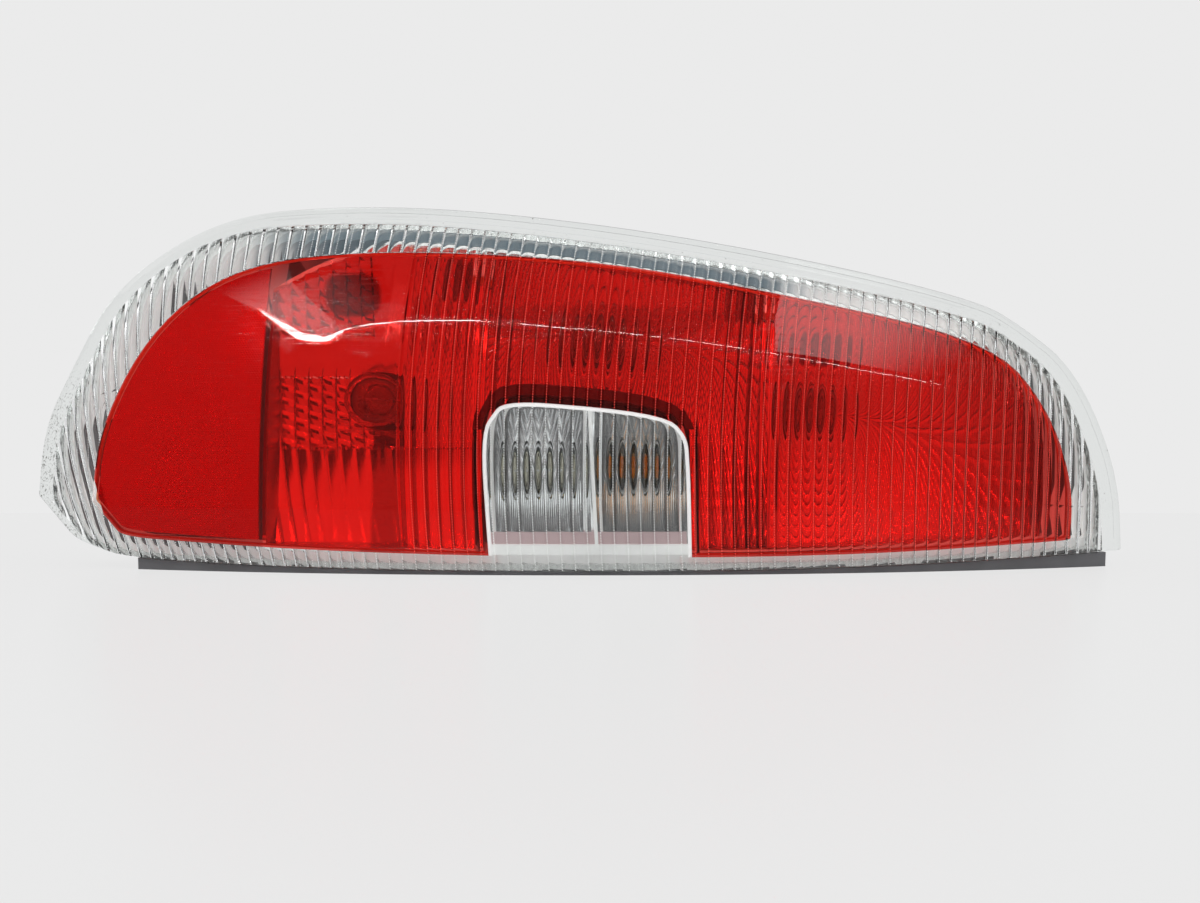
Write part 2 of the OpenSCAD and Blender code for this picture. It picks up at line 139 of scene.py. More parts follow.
def join(pieces: Sequence[bpy.types.Object], name: str) -> bpy.types.Object:
    """Joins objects into one.

    Args:
        pieces: The objects, of which the first one stays.
        name: Name of the joined object.

    Returns:
        The joined object.
    """
    deselect()
    for piece in pieces:
        piece.select_set(True)
    bpy.context.view_layer.objects.active = pieces[0]
    bpy.ops.object.join()
    pieces[0].name = name
    return pieces[0]


# The lamp's own geometry


@dataclass(frozen=True)
class LensFace:
    """Barrel-shaped outer face of the lens, turned about the lamp's long axis."""

    crown_r: float = 230.0
    crown_z: float = 25.0
    sweep_r: float = 500.0
    front_y: float = -69.0

    def depth(self, x: float, z: float, inset: float = 0.0) -> float:
        """Depth of the face moved back by an inset.

        Args:
            x: Place along the lamp.
            z: Height.
            inset: Distance behind the outer face.

        Returns:
            Depth behind the lens's foremost line.
        """
        reach = self.sweep_r - inset
        ring = self.crown_r - self.sweep_r + math.sqrt(max(reach * reach - x * x, 1.0))
        rise = z - self.crown_z
        return self.crown_r - math.sqrt(max(ring * ring - rise * rise, 1.0))

    def spot(self, x: float, z: float, depth: float) -> Vector:
        """Point in metres at a place in the front view and a depth."""
        return Vector((x * MM, (depth + self.front_y) * MM, z * MM))

    def on_face(self, x: float, z: float, inset: float = 0.0) -> Vector:
        """Point in metres on the face moved back by an inset."""
        return self.spot(x, z, self.depth(x, z, inset))


FACE = LensFace()


def inside(spot: Spot, ring: Sequence[Spot]) -> bool:
    """Whether a place in the front view lies within a polygon."""
    x, z = spot
    within = False
    for (xa, za), (xb, zb) in zip(ring, [*ring[1:], ring[0]]):
        if (za > z) != (zb > z) and x < (xb - xa) * (z - za) / (zb - za) + xa:
            within = not within
    return within


@dataclass(frozen=True)
class Outline:
    """Closed smooth curve in the front view: control points, each with how round it is."""

    corners: tuple[Corner, ...]

    def grown(self, left: float, top: float, right: float, bottom: float) -> "Outline":
        """Moves each edge outwards by a width that follows its direction.

        Args:
            left: Width on edges that face left.
            top: Width on edges that face up.
            right: Width on edges that face right.
            bottom: Width on edges that face down.

        Returns:
            The larger outline.
        """
        count = len(self.corners)

        def edge(start: Corner, end: Corner) -> tuple[float, float, float]:
            """Line of one moved edge: its two slopes and its reach."""
            length = math.hypot(end[0] - start[0], end[1] - start[1])
            across, up = (end[1] - start[1]) / length, -(end[0] - start[0]) / length
            side = right if across > 0 else left
            cap = top if up > 0 else bottom
            return across, up, across * start[0] + up * start[1] + side * across * across + cap * up * up

        moved = []
        for i, corner in enumerate(self.corners):
            before = edge(self.corners[i - 1], corner)
            after = edge(corner, self.corners[(i + 1) % count])
            det = before[0] * after[1] - before[1] * after[0]
            moved.append((
                (before[2] * after[1] - after[2] * before[1]) / det,
                (before[0] * after[2] - after[0] * before[2]) / det,
                corner[2],
            ))
        return Outline(tuple(moved))

    def inset(self, width: float) -> "Outline":
        """The outline moved inwards by one width."""
        return self.grown(-width, -width, -width, -width)

    def points(self, steps: int = 6) -> list[Spot]:
        """Corners of the curve as a fine polygon.

        Args:
            steps: Straight pieces in each bend.

        Returns:
            Places in the front view.
        """
        count = len(self.corners)
        found: list[Spot] = []
        for i, (x, z, round_share) in enumerate(self.corners):
            before, after = self.corners[i - 1], self.corners[(i + 1) % count]
            start = (x + round_share * (before[0] - x) / 2, z + round_share * (before[1] - z) / 2)
            end = (x + round_share * (after[0] - x) / 2, z + round_share * (after[1] - z) / 2)
            last = steps if round_share + after[2] < 2 else steps - 1
            for j in range(last + 1):
                t = j / steps
                found.append(tuple(
                    (1 - t) ** 2 * start[k] + 2 * t * (1 - t) * (x, z)[k] + t * t * end[k] for k in (0, 1)
                ))
        return found


def shares(length: float, height: float, corners: Sequence[Corner]) -> Outline:
    """Outline whose corners are given as shares of the lamp's length and height."""
    return Outline(tuple((x * length, z * height, r) for x, z, r in corners))


FLANGE = shares(510, 168, (
    (-0.502, 0.196, 0.1), (-0.461, 0.077, 0.4), (-0.414, 0.03, 0.7), (-0.194, 0.008, 1), (0.212, 0.008, 1),
    (0.5, 0.042, 0.05), (0.496, 0.262, 1), (0.459, 0.548, 1), (0.408, 0.667, 1), (0.363, 0.744, 1),
    (0.114, 0.893, 1), (-0.096, 0.982, 1), (-0.222, 1.006, 1), (-0.343, 0.994, 1), (-0.441, 0.798, 1),
    (-0.476, 0.542, 1), (-0.498, 0.393, 1),
))
RED = shares(510, 168, (
    (-0.439, 0.185, 0.08), (-0.408, 0.089, 0.3), (-0.188, 0.054, 1), (0.192, 0.042, 1), (0.441, 0.077, 0.08),
    (0.443, 0.238, 1), (0.42, 0.446, 1), (0.369, 0.619, 1), (0.175, 0.738, 1), (0.014, 0.827, 1),
    (-0.19, 0.863, 1), (-0.314, 0.827, 1), (-0.388, 0.661, 1), (-0.433, 0.387, 1),
))
WINDOW = Outline((
    (-38, -6, 0.02), (49, -6, 0.02), (48, 42, 0.5), (47, 59, 0.6), (38, 70, 1), (-33, 76, 0.6),
    (-43, 62, 0.7),
))
BAND_EDGE = FLANGE.grown(-10.5, -10, -13, -0.6)
BULBS: dict[str, Spot] = {
    "left": (-95, 77), "middle": (9, 106), "right": (106, 72.2), "reversing": (-19, 44.8),
    "indicator": (25, 46.4),
}


def window_ring(inset: float) -> list[Spot]:
    """Outline of the window moved inwards, except along its foot."""
    return WINDOW.grown(-inset, -inset, -inset, 0).points()


@dataclass(frozen=True)
class Flutes:
    """Round hollows along the inside of the lens, a little curved from foot to top."""

    pitch: float = 5.9
    wall: float = 1.8
    hollow_r: float = 5.0
    plain_wall: float = 3.4
    middle_z: float = 60.0
    start: float = -1000.0
    ramp: float = 7.0
    tilt: float = 0.02
    spread: float = 0.0004
    bow: float = 0.0008

    def lean(self, along: float, z: float) -> float:
        """Sideways shift of a flute at a height.

        Args:
            along: The flute's own place along the lamp, at mid height.
            z: Height.

        Returns:
            The shift in millimetres.
        """
        rise = z - self.middle_z
        slope = self.tilt + self.spread * along - 0.0015 * max(0.0, -90.0 - along)
        return slope * rise + self.bow * rise * rise

    def thickness(self, along: float) -> float:
        """Wall of the lens at a place across the flutes.

        Args:
            along: Place along the lamp, at mid height.

        Returns:
            The wall in millimetres.
        """
        across = (along / self.pitch - round(along / self.pitch)) * self.pitch
        ridge = self.wall + self.hollow_r - math.sqrt(self.hollow_r**2 - self.pitch**2 / 4)
        first = (math.floor(self.start / self.pitch) + 0.5) * self.pitch
        if along < first:
            return ridge + (self.plain_wall - ridge) * min(1.0, (first - along) / self.ramp)
        return self.wall + self.hollow_r - math.sqrt(self.hollow_r**2 - across**2)


def prism(name: str, outline: Sequence[Spot], front: float, back: float) -> bpy.types.Object:
    """Solid whose section in the front view is a polygon.

    Args:
        name: Name of the object.
        outline: Corners of the polygon.
        front: Depth of its front end.
        back: Depth of its back end.

    Returns:
        The closed solid.
    """
    deselect()
    bpy.ops.mesh.primitive_circle_add(vertices=len(outline), radius=1, fill_type="NGON")
    solid = bpy.context.object
    solid.name = name
    for corner, (x, z) in zip(solid.data.vertices, outline):
        corner.co = FACE.spot(x, z, front)
    bpy.ops.object.mode_set(mode="EDIT")
    bpy.ops.mesh.select_all(action="SELECT")
    bpy.ops.mesh.extrude_region_move(TRANSFORM_OT_translate={"value": (0, (back - front) * MM, 0)})
    bpy.ops.object.mode_set(mode="OBJECT")
    tidy_normals(solid)
    return solid


def oblong(across: Spot, up: Spot) -> list[Spot]:
    """Corners of a rectangle in the front view."""
    return [(across[0], up[0]), (across[1], up[0]), (across[1], up[1]), (across[0], up[1])]


def trim(piece: bpy.types.Object, edge: Sequence[Spot]) -> None:
    """Keeps what lies within an outline in the front view."""
    cut(piece, prism("edge", edge, -20, 130), "INTERSECT")


def pierce(piece: bpy.types.Object, edge: Sequence[Spot]) -> None:
    """Takes away what lies within an outline in the front view."""
    cut(piece, prism("hole", edge, -20, 130))


def quilt(
    name: str,
    columns: int,
    rows: int,
    front: Callable[[float, float], Vector],
    back: Callable[[float, float], Vector],
    back_slot: int = 0,
    ring: bool = False,
) -> bpy.types.Object:
    """Closed solid between two surfaces, each made from one grid.

    Args:
        name: Name of the object.
        columns: Faces along the grid.
        rows: Faces up the grid.
        front: Point of the front surface for a column and row number.
        back: Point of the back surface for a column and row number.
        back_slot: Material slot of the back surface.
        ring: Whether the last column meets the first one.

    Returns:
        The closed solid.
    """
    deselect()
    bpy.ops.mesh.primitive_grid_add(x_subdivisions=columns, y_subdivisions=rows, size=2)
    sheet = bpy.context.object
    sheet.name = name
    bpy.ops.object.mode_set(mode="EDIT")
    bpy.ops.mesh.select_all(action="SELECT")
    bpy.ops.mesh.extrude_region_move(TRANSFORM_OT_translate={"value": (0, 0, 1)})
    bpy.ops.object.mode_set(mode="OBJECT")
    if ring:
        bpy.ops.object.mode_set(mode="EDIT")
        bpy.ops.mesh.select_all(action="DESELECT")
        bpy.ops.mesh.select_mode(type="FACE")
        bpy.ops.object.mode_set(mode="OBJECT")
        for face in sheet.data.polygons:
            face.select = abs(face.center.x) > 1 - 0.1 / columns
        bpy.ops.object.mode_set(mode="EDIT")
        bpy.ops.mesh.delete(type="ONLY_FACE")
        bpy.ops.mesh.select_mode(type="VERT")
        bpy.ops.object.mode_set(mode="OBJECT")
    for face in sheet.data.polygons:
        if all(sheet.data.vertices[v].co.z > 0.5 for v in face.vertices):
            face.material_index = back_slot
    for corner in sheet.data.vertices:
        column = (corner.co.x + 1) / 2 * columns
        row = (corner.co.y + 1) / 2 * rows
        surface = back if corner.co.z > 0.5 else front
        corner.co = surface(round(column), round(row))
    tidy_normals(sheet, merge=0.000001 if ring else 0.0)
    return sheet


def layer(
    name: str,
    near: float,
    far: float,
    flutes: Flutes | None = None,
    step: float = 4.0,
    along: Spot = (-262, 262),
) -> bpy.types.Object:
    """Shell that follows the lens face, larger than the lamp, ready to be trimmed.

    Args:
        name: Name of the object.
        near: Inset of its front surface behind the outer face.
        far: Inset of its back surface, where it has no flutes.
        flutes: The flutes of its back surface, if it has any.
        step: Size of its faces where it has no flutes.
        along: Its two ends along the lamp.

    Returns:
        The closed shell.
    """
    low, high, row_step = -9.0, 174.0, 3.0
    fine = flutes.pitch / 8 if flutes else step
    first = math.floor(along[0] / fine)
    columns = math.ceil(along[1] / fine) - first
    rows = round((high - low) / row_step)

    def place(column: float, row: float) -> tuple[float, float, float]:
        """Place across the flutes, along the lamp and up."""
        own = (first + column) * fine
        z = low + row * row_step
        return own, own + (flutes.lean(own, z) if flutes else 0.0), z

    def outer(column: float, row: float) -> Vector:
        """Point of the front surface."""
        _, x, z = place(column, row)
        return FACE.on_face(x, z, near)

    def inner(column: float, row: float) -> Vector:
        """Point of the back surface."""
        own, x, z = place(column, row)
        return FACE.on_face(x, z, flutes.thickness(own) if flutes else far)

    return quilt(name, columns, rows, outer, inner, back_slot=1)


# Finishes


class NodeDesk:
    """Lays out the nodes of one material, or of the world."""

    def __init__(self, name: str, world: bpy.types.World | None = None) -> None:
        """Starts with no node but the output.

        Args:
            name: Name of the material.
            world: The world, if its nodes are meant.
        """
        self.material = world or bpy.data.materials.new(name)
        self.material.use_nodes = True
        self.tree = self.material.node_tree
        self.tree.nodes.clear()
        self.output = self.node("OutputWorld" if world else "OutputMaterial")
        self._place: bpy.types.NodeSocket | None = None

    def put(self, socket: bpy.types.NodeSocket, value: object) -> None:
        """Links a socket, or gives it a constant."""
        if isinstance(value, bpy.types.NodeSocket):
            self.tree.links.new(value, socket)
        elif value is not None:
            socket.default_value = value

    def node(self, kind: str, settings: dict[str, object] | None = None, **sockets: object) -> bpy.types.Node:
        """Adds a node.

        Args:
            kind: The node's type without ShaderNode.
            settings: Properties of the node.
            sockets: Values or links, by the socket's name with spaces as underscores.

        Returns:
            The node.
        """
        made = self.tree.nodes.new("ShaderNode" + kind)
        for name, value in (settings or {}).items():
            setattr(made, name, value)
        for name, value in sockets.items():
            self.put(made.inputs[name.replace("_", " ")], value)
        return made

    def place(self) -> bpy.types.NodeSocket:
        """Object coordinates, in metres."""
        if self._place is None:
            self._place = self.node("TexCoord").outputs["Object"]
        return self._place

    def part(self) -> tuple[bpy.types.NodeSocket, bpy.types.NodeSocket, bpy.types.NodeSocket]:
        """Place in millimetres as three numbers: along, depth in the lamp's frame, and up."""
        scaled = self.node("VectorMath", {"operation": "SCALE"}, Vector=self.place(), Scale=1 / MM)
        axes = self.node("SeparateXYZ", Vector=scaled.outputs["Vector"])
        return axes.outputs["X"], axes.outputs["Y"], axes.outputs["Z"]

    def math(self, operation: str, *values: object, clamp: bool = False) -> bpy.types.NodeSocket:
        """Result of one sum on numbers or links."""
        made = self.node("Math", {"operation": operation, "use_clamp": clamp})
        for socket, value in zip(made.inputs, values):
            self.put(socket, value)
        return made.outputs["Value"]

    def away(self, value: object, middle: float) -> bpy.types.NodeSocket:
        """Distance of a value from a middle value."""
        return self.math("ABSOLUTE", self.math("SUBTRACT", value, middle))

    def fade(
        self, value: object, low: object, high: float, start: float = 0.0, end: float = 1.0
    ) -> bpy.types.NodeSocket:
        """Smooth step from start to end as a value goes from low to high."""
        made = self.node(
            "MapRange", {"interpolation_type": "SMOOTHSTEP"},
            Value=value, From_Min=low, From_Max=high, To_Min=start, To_Max=end,
        )
        return made.outputs["Result"]

    def noise(
        self, scale: float, detail: float = 3.0, stretch: Sequence[float] = (1, 1, 1), turn: float = 0.0
    ) -> bpy.types.NodeSocket:
        """Cloudy pattern.

        Args:
            scale: Waves to a millimetre.
            detail: Octaves of finer waves.
            stretch: Scale along each axis on top of that.
            turn: Turn of the pattern in the front view, in degrees.

        Returns:
            The pattern's value, about 0.5 on average.
        """
        mapped = self.node(
            "Mapping", Vector=self.place(), Rotation=(0, math.radians(turn), 0),
            Scale=tuple(scale / MM * s for s in stretch),
        )
        return self.node("TexNoise", Vector=mapped.outputs["Vector"], Scale=1.0, Detail=detail).outputs["Fac"]

    def mix(self, share: object, first: object, second: object) -> bpy.types.NodeSocket:
        """Blend of two colours."""
        made = self.node("Mix", {"data_type": "RGBA"})
        self.put(made.inputs[0], share)
        self.put(made.inputs[6], first)
        self.put(made.inputs[7], second)
        return made.outputs[2]

    def between(self, share: object, first: object, second: object) -> bpy.types.NodeSocket:
        """Blend of two numbers."""
        return self.node("Mix", {"data_type": "FLOAT"}, Factor=share, A=first, B=second).outputs[0]

    def bump(self, height: object, distance: float, strength: float = 1.0) -> bpy.types.NodeSocket:
        """Normal of a fine relief.

        Args:
            height: Height of the relief, from 0 to 1.
            distance: Depth of the relief in millimetres.
            strength: Share of the relief that is used.

        Returns:
            The normal.
        """
        made = self.node("Bump", Height=height, Distance=distance * MM, Strength=strength)
        return made.outputs["Normal"]

    def glow(self, strength: object) -> bpy.types.NodeSocket:
        """White emission."""
        return self.node("Emission", Color=(1, 1, 1, 1), Strength=strength).outputs["Emission"]

    def blend(self, share: object, first: object, second: object) -> bpy.types.NodeSocket:
        """Blend of two shaders."""
        made = self.node("MixShader")
        for socket, value in zip(made.inputs, (share, first, second)):
            self.put(socket, value)
        return made.outputs["Shader"]

    def surface(self, **sockets: object) -> bpy.types.Material:
        """Ends the material with one shader.

        Args:
            sockets: Sockets of the shader.

        Returns:
            The material.
        """
        return self.end(self.node("BsdfPrincipled", **sockets).outputs["BSDF"])

    def end(self, shader: bpy.types.NodeSocket) -> bpy.types.Material:
        """Links the last shader to the output and returns the material."""
        self.put(self.output.inputs["Surface"], shader)
        return self.material


@dataclass(frozen=True)
class LensPlastic:
    """Transparent acrylic, coloured in the mass."""

    name: str
    tint: tuple[float, float, float]
    ridge_tint: tuple[float, float, float]
    # glow of the ridge notches: painted light
    ridge_painted_glow: float = 0.5
    ior: float = 1.49
    notch: float = 1.15

    def outside(self) -> bpy.types.Material:
        """Polished outer face with fine wiping scratches."""
        desk = NodeDesk(self.name + "_face")
        wiped = desk.fade(desk.noise(0.02, 2), 0.4, 0.6)
        scratch = desk.fade(desk.noise(1.5, 2, (0.035, 0.035, 1.0), turn=-17), 0.58, 0.66)
        cross = desk.fade(desk.noise(1.2, 2, (0.05, 0.05, 1.0), turn=38), 0.64, 0.7)
        marks = desk.math("MULTIPLY", desk.math("MAXIMUM", scratch, cross), wiped)
        return desk.surface(
            Base_Color=(*self.tint, 1), Transmission_Weight=1.0, IOR=self.ior,
            Roughness=desk.fade(marks, 0.0, 1.0, 0.015, 0.16),
            Normal=desk.bump(marks, 0.01),
        )

    def inside(self, flutes: Flutes) -> bpy.types.Material:
        """Fluted inner face, finely notched along each ridge; the notches are pale and glow with painted
        light.

        Args:
            flutes: The flutes whose ridges carry the notches.

        Returns:
            The material.
        """
        desk = NodeDesk(self.name + "_flutes")
        along, _, up = desk.part()
        rise = desk.math("SUBTRACT", up, flutes.middle_z)
        bent = desk.math("MULTIPLY", desk.math("MULTIPLY", rise, rise), flutes.bow)
        tilted = desk.math("MULTIPLY", rise, flutes.tilt)
        straight = desk.math("SUBTRACT", desk.math("SUBTRACT", along, bent), tilted)
        own = desk.math("DIVIDE", straight, desk.math("MULTIPLY_ADD", rise, flutes.spread, 1.0))
        phase = desk.math("FRACT", desk.math("DIVIDE", own, flutes.pitch))
        ridge = desk.fade(desk.away(phase, 0.5), 0.025, 0.045, 1.0, 0.0)
        tooth = desk.math("FRACT", desk.math("DIVIDE", up, self.notch))
        notch = desk.fade(desk.away(tooth, 0.5), 0.18, 0.3)
        begun = desk.fade(own, flutes.start, flutes.start + 1.0)
        dots = desk.math("MULTIPLY", desk.math("MULTIPLY", ridge, notch), begun)
        return desk.surface(
            Base_Color=desk.mix(dots, (*self.tint, 1), (*self.ridge_tint, 1)),
            Transmission_Weight=desk.math("MULTIPLY_ADD", dots, -0.7, 1.0), IOR=self.ior,
            Roughness=desk.fade(dots, 0.0, 1.0, 0.012, 0.4),
            # painted light: the notches on the ridges glow, standing in for the light they catch from above
            Emission_Color=(*self.ridge_tint, 1),
            Emission_Strength=desk.math("MULTIPLY", dots, self.ridge_painted_glow),
            Normal=desk.bump(desk.noise(0.5, 2), 0.006),
        )


@dataclass(frozen=True)
class SoiledPlastic:
    """Clear acrylic of the outer rim, with the grime of its joint with the car."""

    name: str
    tint: tuple[float, float, float] = (0.95, 0.97, 0.96)
    grime: tuple[float, float, float] = (0.09, 0.085, 0.065)

    def material(self) -> bpy.types.Material:
        """Makes the material."""
        desk = NodeDesk(self.name)
        along, _, up = desk.part()
        reach = desk.node("Attribute", {"attribute_name": "reach"}).outputs["Fac"]
        left = desk.fade(along, -215, -238)
        low_left = desk.math("MULTIPLY", left, desk.fade(up, 112, 70))
        specks = desk.fade(desk.noise(0.9, 4), desk.math("MULTIPLY_ADD", low_left, -0.13, 0.69), 0.74)
        patches = desk.fade(desk.noise(0.06, 3), 0.5, 0.62)
        dust = desk.math("MULTIPLY", specks, desk.math("MAXIMUM", patches, low_left))
        seam = desk.math("MULTIPLY", desk.fade(reach, 0.16, 0.03), desk.fade(desk.noise(0.25, 4), 0.42, 0.6))
        right = desk.math("MULTIPLY", desk.fade(along, 170, 215), desk.fade(up, 6, 20))
        film = desk.math("MULTIPLY", seam, desk.math("MULTIPLY_ADD", right, 0.75, 0.12))
        soil = desk.math("MAXIMUM", dust, film)
        return desk.surface(
            Base_Color=desk.mix(soil, (*self.tint, 1), (*self.grime, 1)),
            Transmission_Weight=desk.math("SUBTRACT", 1.0, desk.math("MULTIPLY", soil, 0.85)), IOR=1.49,
            Roughness=desk.fade(soil, 0.0, 1.0, 0.03, 0.7),
            Normal=desk.bump(desk.noise(0.4, 3), 0.02),
        )


@dataclass(frozen=True)
class Patch:
    """Soft oval area of a film, in the front view, darkened as painted shade."""

    x: float
    z: float
    across: float
    up: float
    shade: float


@dataclass(frozen=True)
class MetalFilm:
    """Vacuum-metallised plastic of the reflectors, with patches darkened as painted shade."""

    name: str
    tint: tuple[float, float, float] = (0.95, 0.95, 0.94)
    roughness: float = 0.07
    patches: tuple[Patch, ...] = ()
    glow: float = 0.0

    def material(self) -> bpy.types.Material:
        """Makes the material."""
        desk = NodeDesk(self.name)
        haze = desk.fade(desk.noise(0.05, 3), 0.4, 0.7)
        colour = desk.mix(haze, (*self.tint, 1), (*(c * 0.94 for c in self.tint), 1))
        along, _, up = desk.part()
        for patch in self.patches:
            across = desk.math("POWER", desk.math("DIVIDE", desk.away(along, patch.x), patch.across), 3.0)
            rise = desk.math("POWER", desk.math("DIVIDE", desk.away(up, patch.z), patch.up), 3.0)
            # painted shade: each patch darkens the film towards its middle
            painted_dark = desk.fade(desk.math("ADD", across, rise), 1.25, 0.6)
            colour = desk.mix(painted_dark, colour, (*(c * patch.shade for c in self.tint), 1))
        return desk.surface(
            Base_Color=colour, Metallic=1.0,
            Roughness=desk.math("MULTIPLY_ADD", haze, 0.04, self.roughness),
            # painted light: the film glows by its glow setting, which only the window's film uses
            Emission_Color=(*self.tint, 1), Emission_Strength=self.glow,
            Normal=desk.bump(desk.noise(0.35, 2), 0.01),
        )


@dataclass(frozen=True)
class Moulding:
    """Moulded plastic or rubber with a fine texture; some pieces glow with painted light, and the lining gets
    a painted shade over the top.
    """

    name: str
    colour: tuple[float, float, float]
    roughness: float = 0.5
    grain: float = 0.02
    glow: float = 0.0
    painted_light_between: Spot | None = None
    shade: tuple[float, float, float] | None = None

    def material(self) -> bpy.types.Material:
        """Makes the material."""
        desk = NodeDesk(self.name)
        cloud = desk.fade(desk.noise(0.03, 4), 0.35, 0.7)
        fine = desk.noise(2.2, 3)
        # painted light: the glow, from a fifth at the foot of the height range to full at its top, as if lit
        # from above
        glow = self.glow
        if self.painted_light_between:
            glow = desk.fade(desk.part()[2], *self.painted_light_between, self.glow * 0.2, self.glow)
        colour = desk.mix(cloud, (*self.colour, 1), (*(c * 0.82 for c in self.colour), 1))
        lit: object = (*self.colour, 1)
        # painted shade: the lining turns blue-grey over the top of the chambers
        if self.shade:
            along, _, up = desk.part()
            span = desk.math("MULTIPLY", desk.fade(along, -165, -120), desk.fade(along, 118, 80))
            dim = desk.math("MULTIPLY", span, desk.fade(up, 90, 100))
            colour = desk.mix(dim, colour, (*self.shade, 1))
            lit = desk.mix(dim, lit, (*self.shade, 1))
        return desk.surface(
            Base_Color=colour, Roughness=desk.math("MULTIPLY_ADD", cloud, 0.12, self.roughness),
            Emission_Color=lit, Emission_Strength=glow, Normal=desk.bump(fine, self.grain),
        )


@dataclass(frozen=True)
class TurnedMetal:
    """Bare or plated metal of screws, studs, caps and strips."""

    name: str
    colour: tuple[float, float, float]
    roughness: float = 0.28

    def material(self) -> bpy.types.Material:
        """Makes the material."""
        desk = NodeDesk(self.name)
        tarnish = desk.fade(desk.noise(0.25, 4), 0.42, 0.66)
        return desk.surface(
            Base_Color=desk.mix(tarnish, (*self.colour, 1), (*(c * 0.72 for c in self.colour), 1)),
            Metallic=1.0, Roughness=desk.math("MULTIPLY_ADD", tarnish, 0.2, self.roughness),
            Normal=desk.bump(desk.noise(3.0, 2, (0.2, 1, 0.2)), 0.01),
        )


@dataclass(frozen=True)
class LampGlass:
    """Blown glass of a bulb."""

    name: str
    tint: tuple[float, float, float]
    smoke: tuple[float, float, float] | None = None
    belt_x: float = 25.0
    belt_y: float = -18.5
    belt_z: float = 46.4

    def material(self) -> bpy.types.Material:
        """Makes the material, with the colour strongest in a belt round the filament."""
        desk = NodeDesk(self.name)
        colour = (*self.tint, 1)
        if self.smoke:
            along, back, up = desk.part()
            front = desk.fade(back, self.belt_y + 1, self.belt_y - 1)
            level = desk.fade(desk.away(up, self.belt_z), 5.2, 4.4)
            belt = desk.math("MULTIPLY", level, desk.fade(desk.away(along, self.belt_x), 8.0, 6.5))
            colour = desk.mix(desk.math("MULTIPLY", belt, front), (*self.smoke, 1), colour)
        return desk.surface(
            Base_Color=colour, Transmission_Weight=1.0, IOR=1.2,
            Roughness=desk.fade(desk.noise(0.1, 2), 0.3, 0.8, 0.0, 0.05),
            Normal=desk.bump(desk.noise(0.12, 1), 0.02),
        )


@dataclass(frozen=True)
class PrismPlate:
    """Red plate of small corner prisms that sends light back, with painted highlights on the prisms."""

    name: str
    colour: tuple[float, float, float] = (0.92, 0.02, 0.03)
    prism: float = 1.25

    def material(self) -> bpy.types.Material:
        """Makes the material."""
        desk = NodeDesk(self.name)
        along, _, up = desk.part()
        slant = desk.math("MULTIPLY", up, 0.12)
        across = desk.math("DIVIDE", desk.math("ADD", along, slant), self.prism)
        rise = desk.math("DIVIDE", up, self.prism * 0.866)
        row = desk.math("FLOOR", rise)
        odd = desk.math("MULTIPLY", desk.math("MODULO", row, 2.0), 0.5)
        a = desk.math("SUBTRACT", desk.math("FRACT", desk.math("ADD", across, odd)), 0.5)
        b = desk.math("SUBTRACT", desk.math("FRACT", rise), 0.5)
        away = desk.math("SQRT", desk.math("ADD", desk.math("MULTIPLY", a, a), desk.math("MULTIPLY", b, b)))
        lobe = desk.fade(away, 0.1, 0.42, 1.0, 0.0)
        # painted highlight: pale glints in the middle of the prisms, where the cloudy pattern is high
        lit = desk.fade(desk.noise(0.045, 3), 0.5, 0.68)
        glint = desk.math("MULTIPLY", desk.fade(away, 0.12, 0.26, 1.0, 0.0), lit)
        return desk.surface(
            Base_Color=desk.mix(glint, (*self.colour, 1), (0.95, 0.16, 0.12, 1)),
            Roughness=0.25, Metallic=0.35, Normal=desk.bump(lobe, 0.25, 0.7),
        )


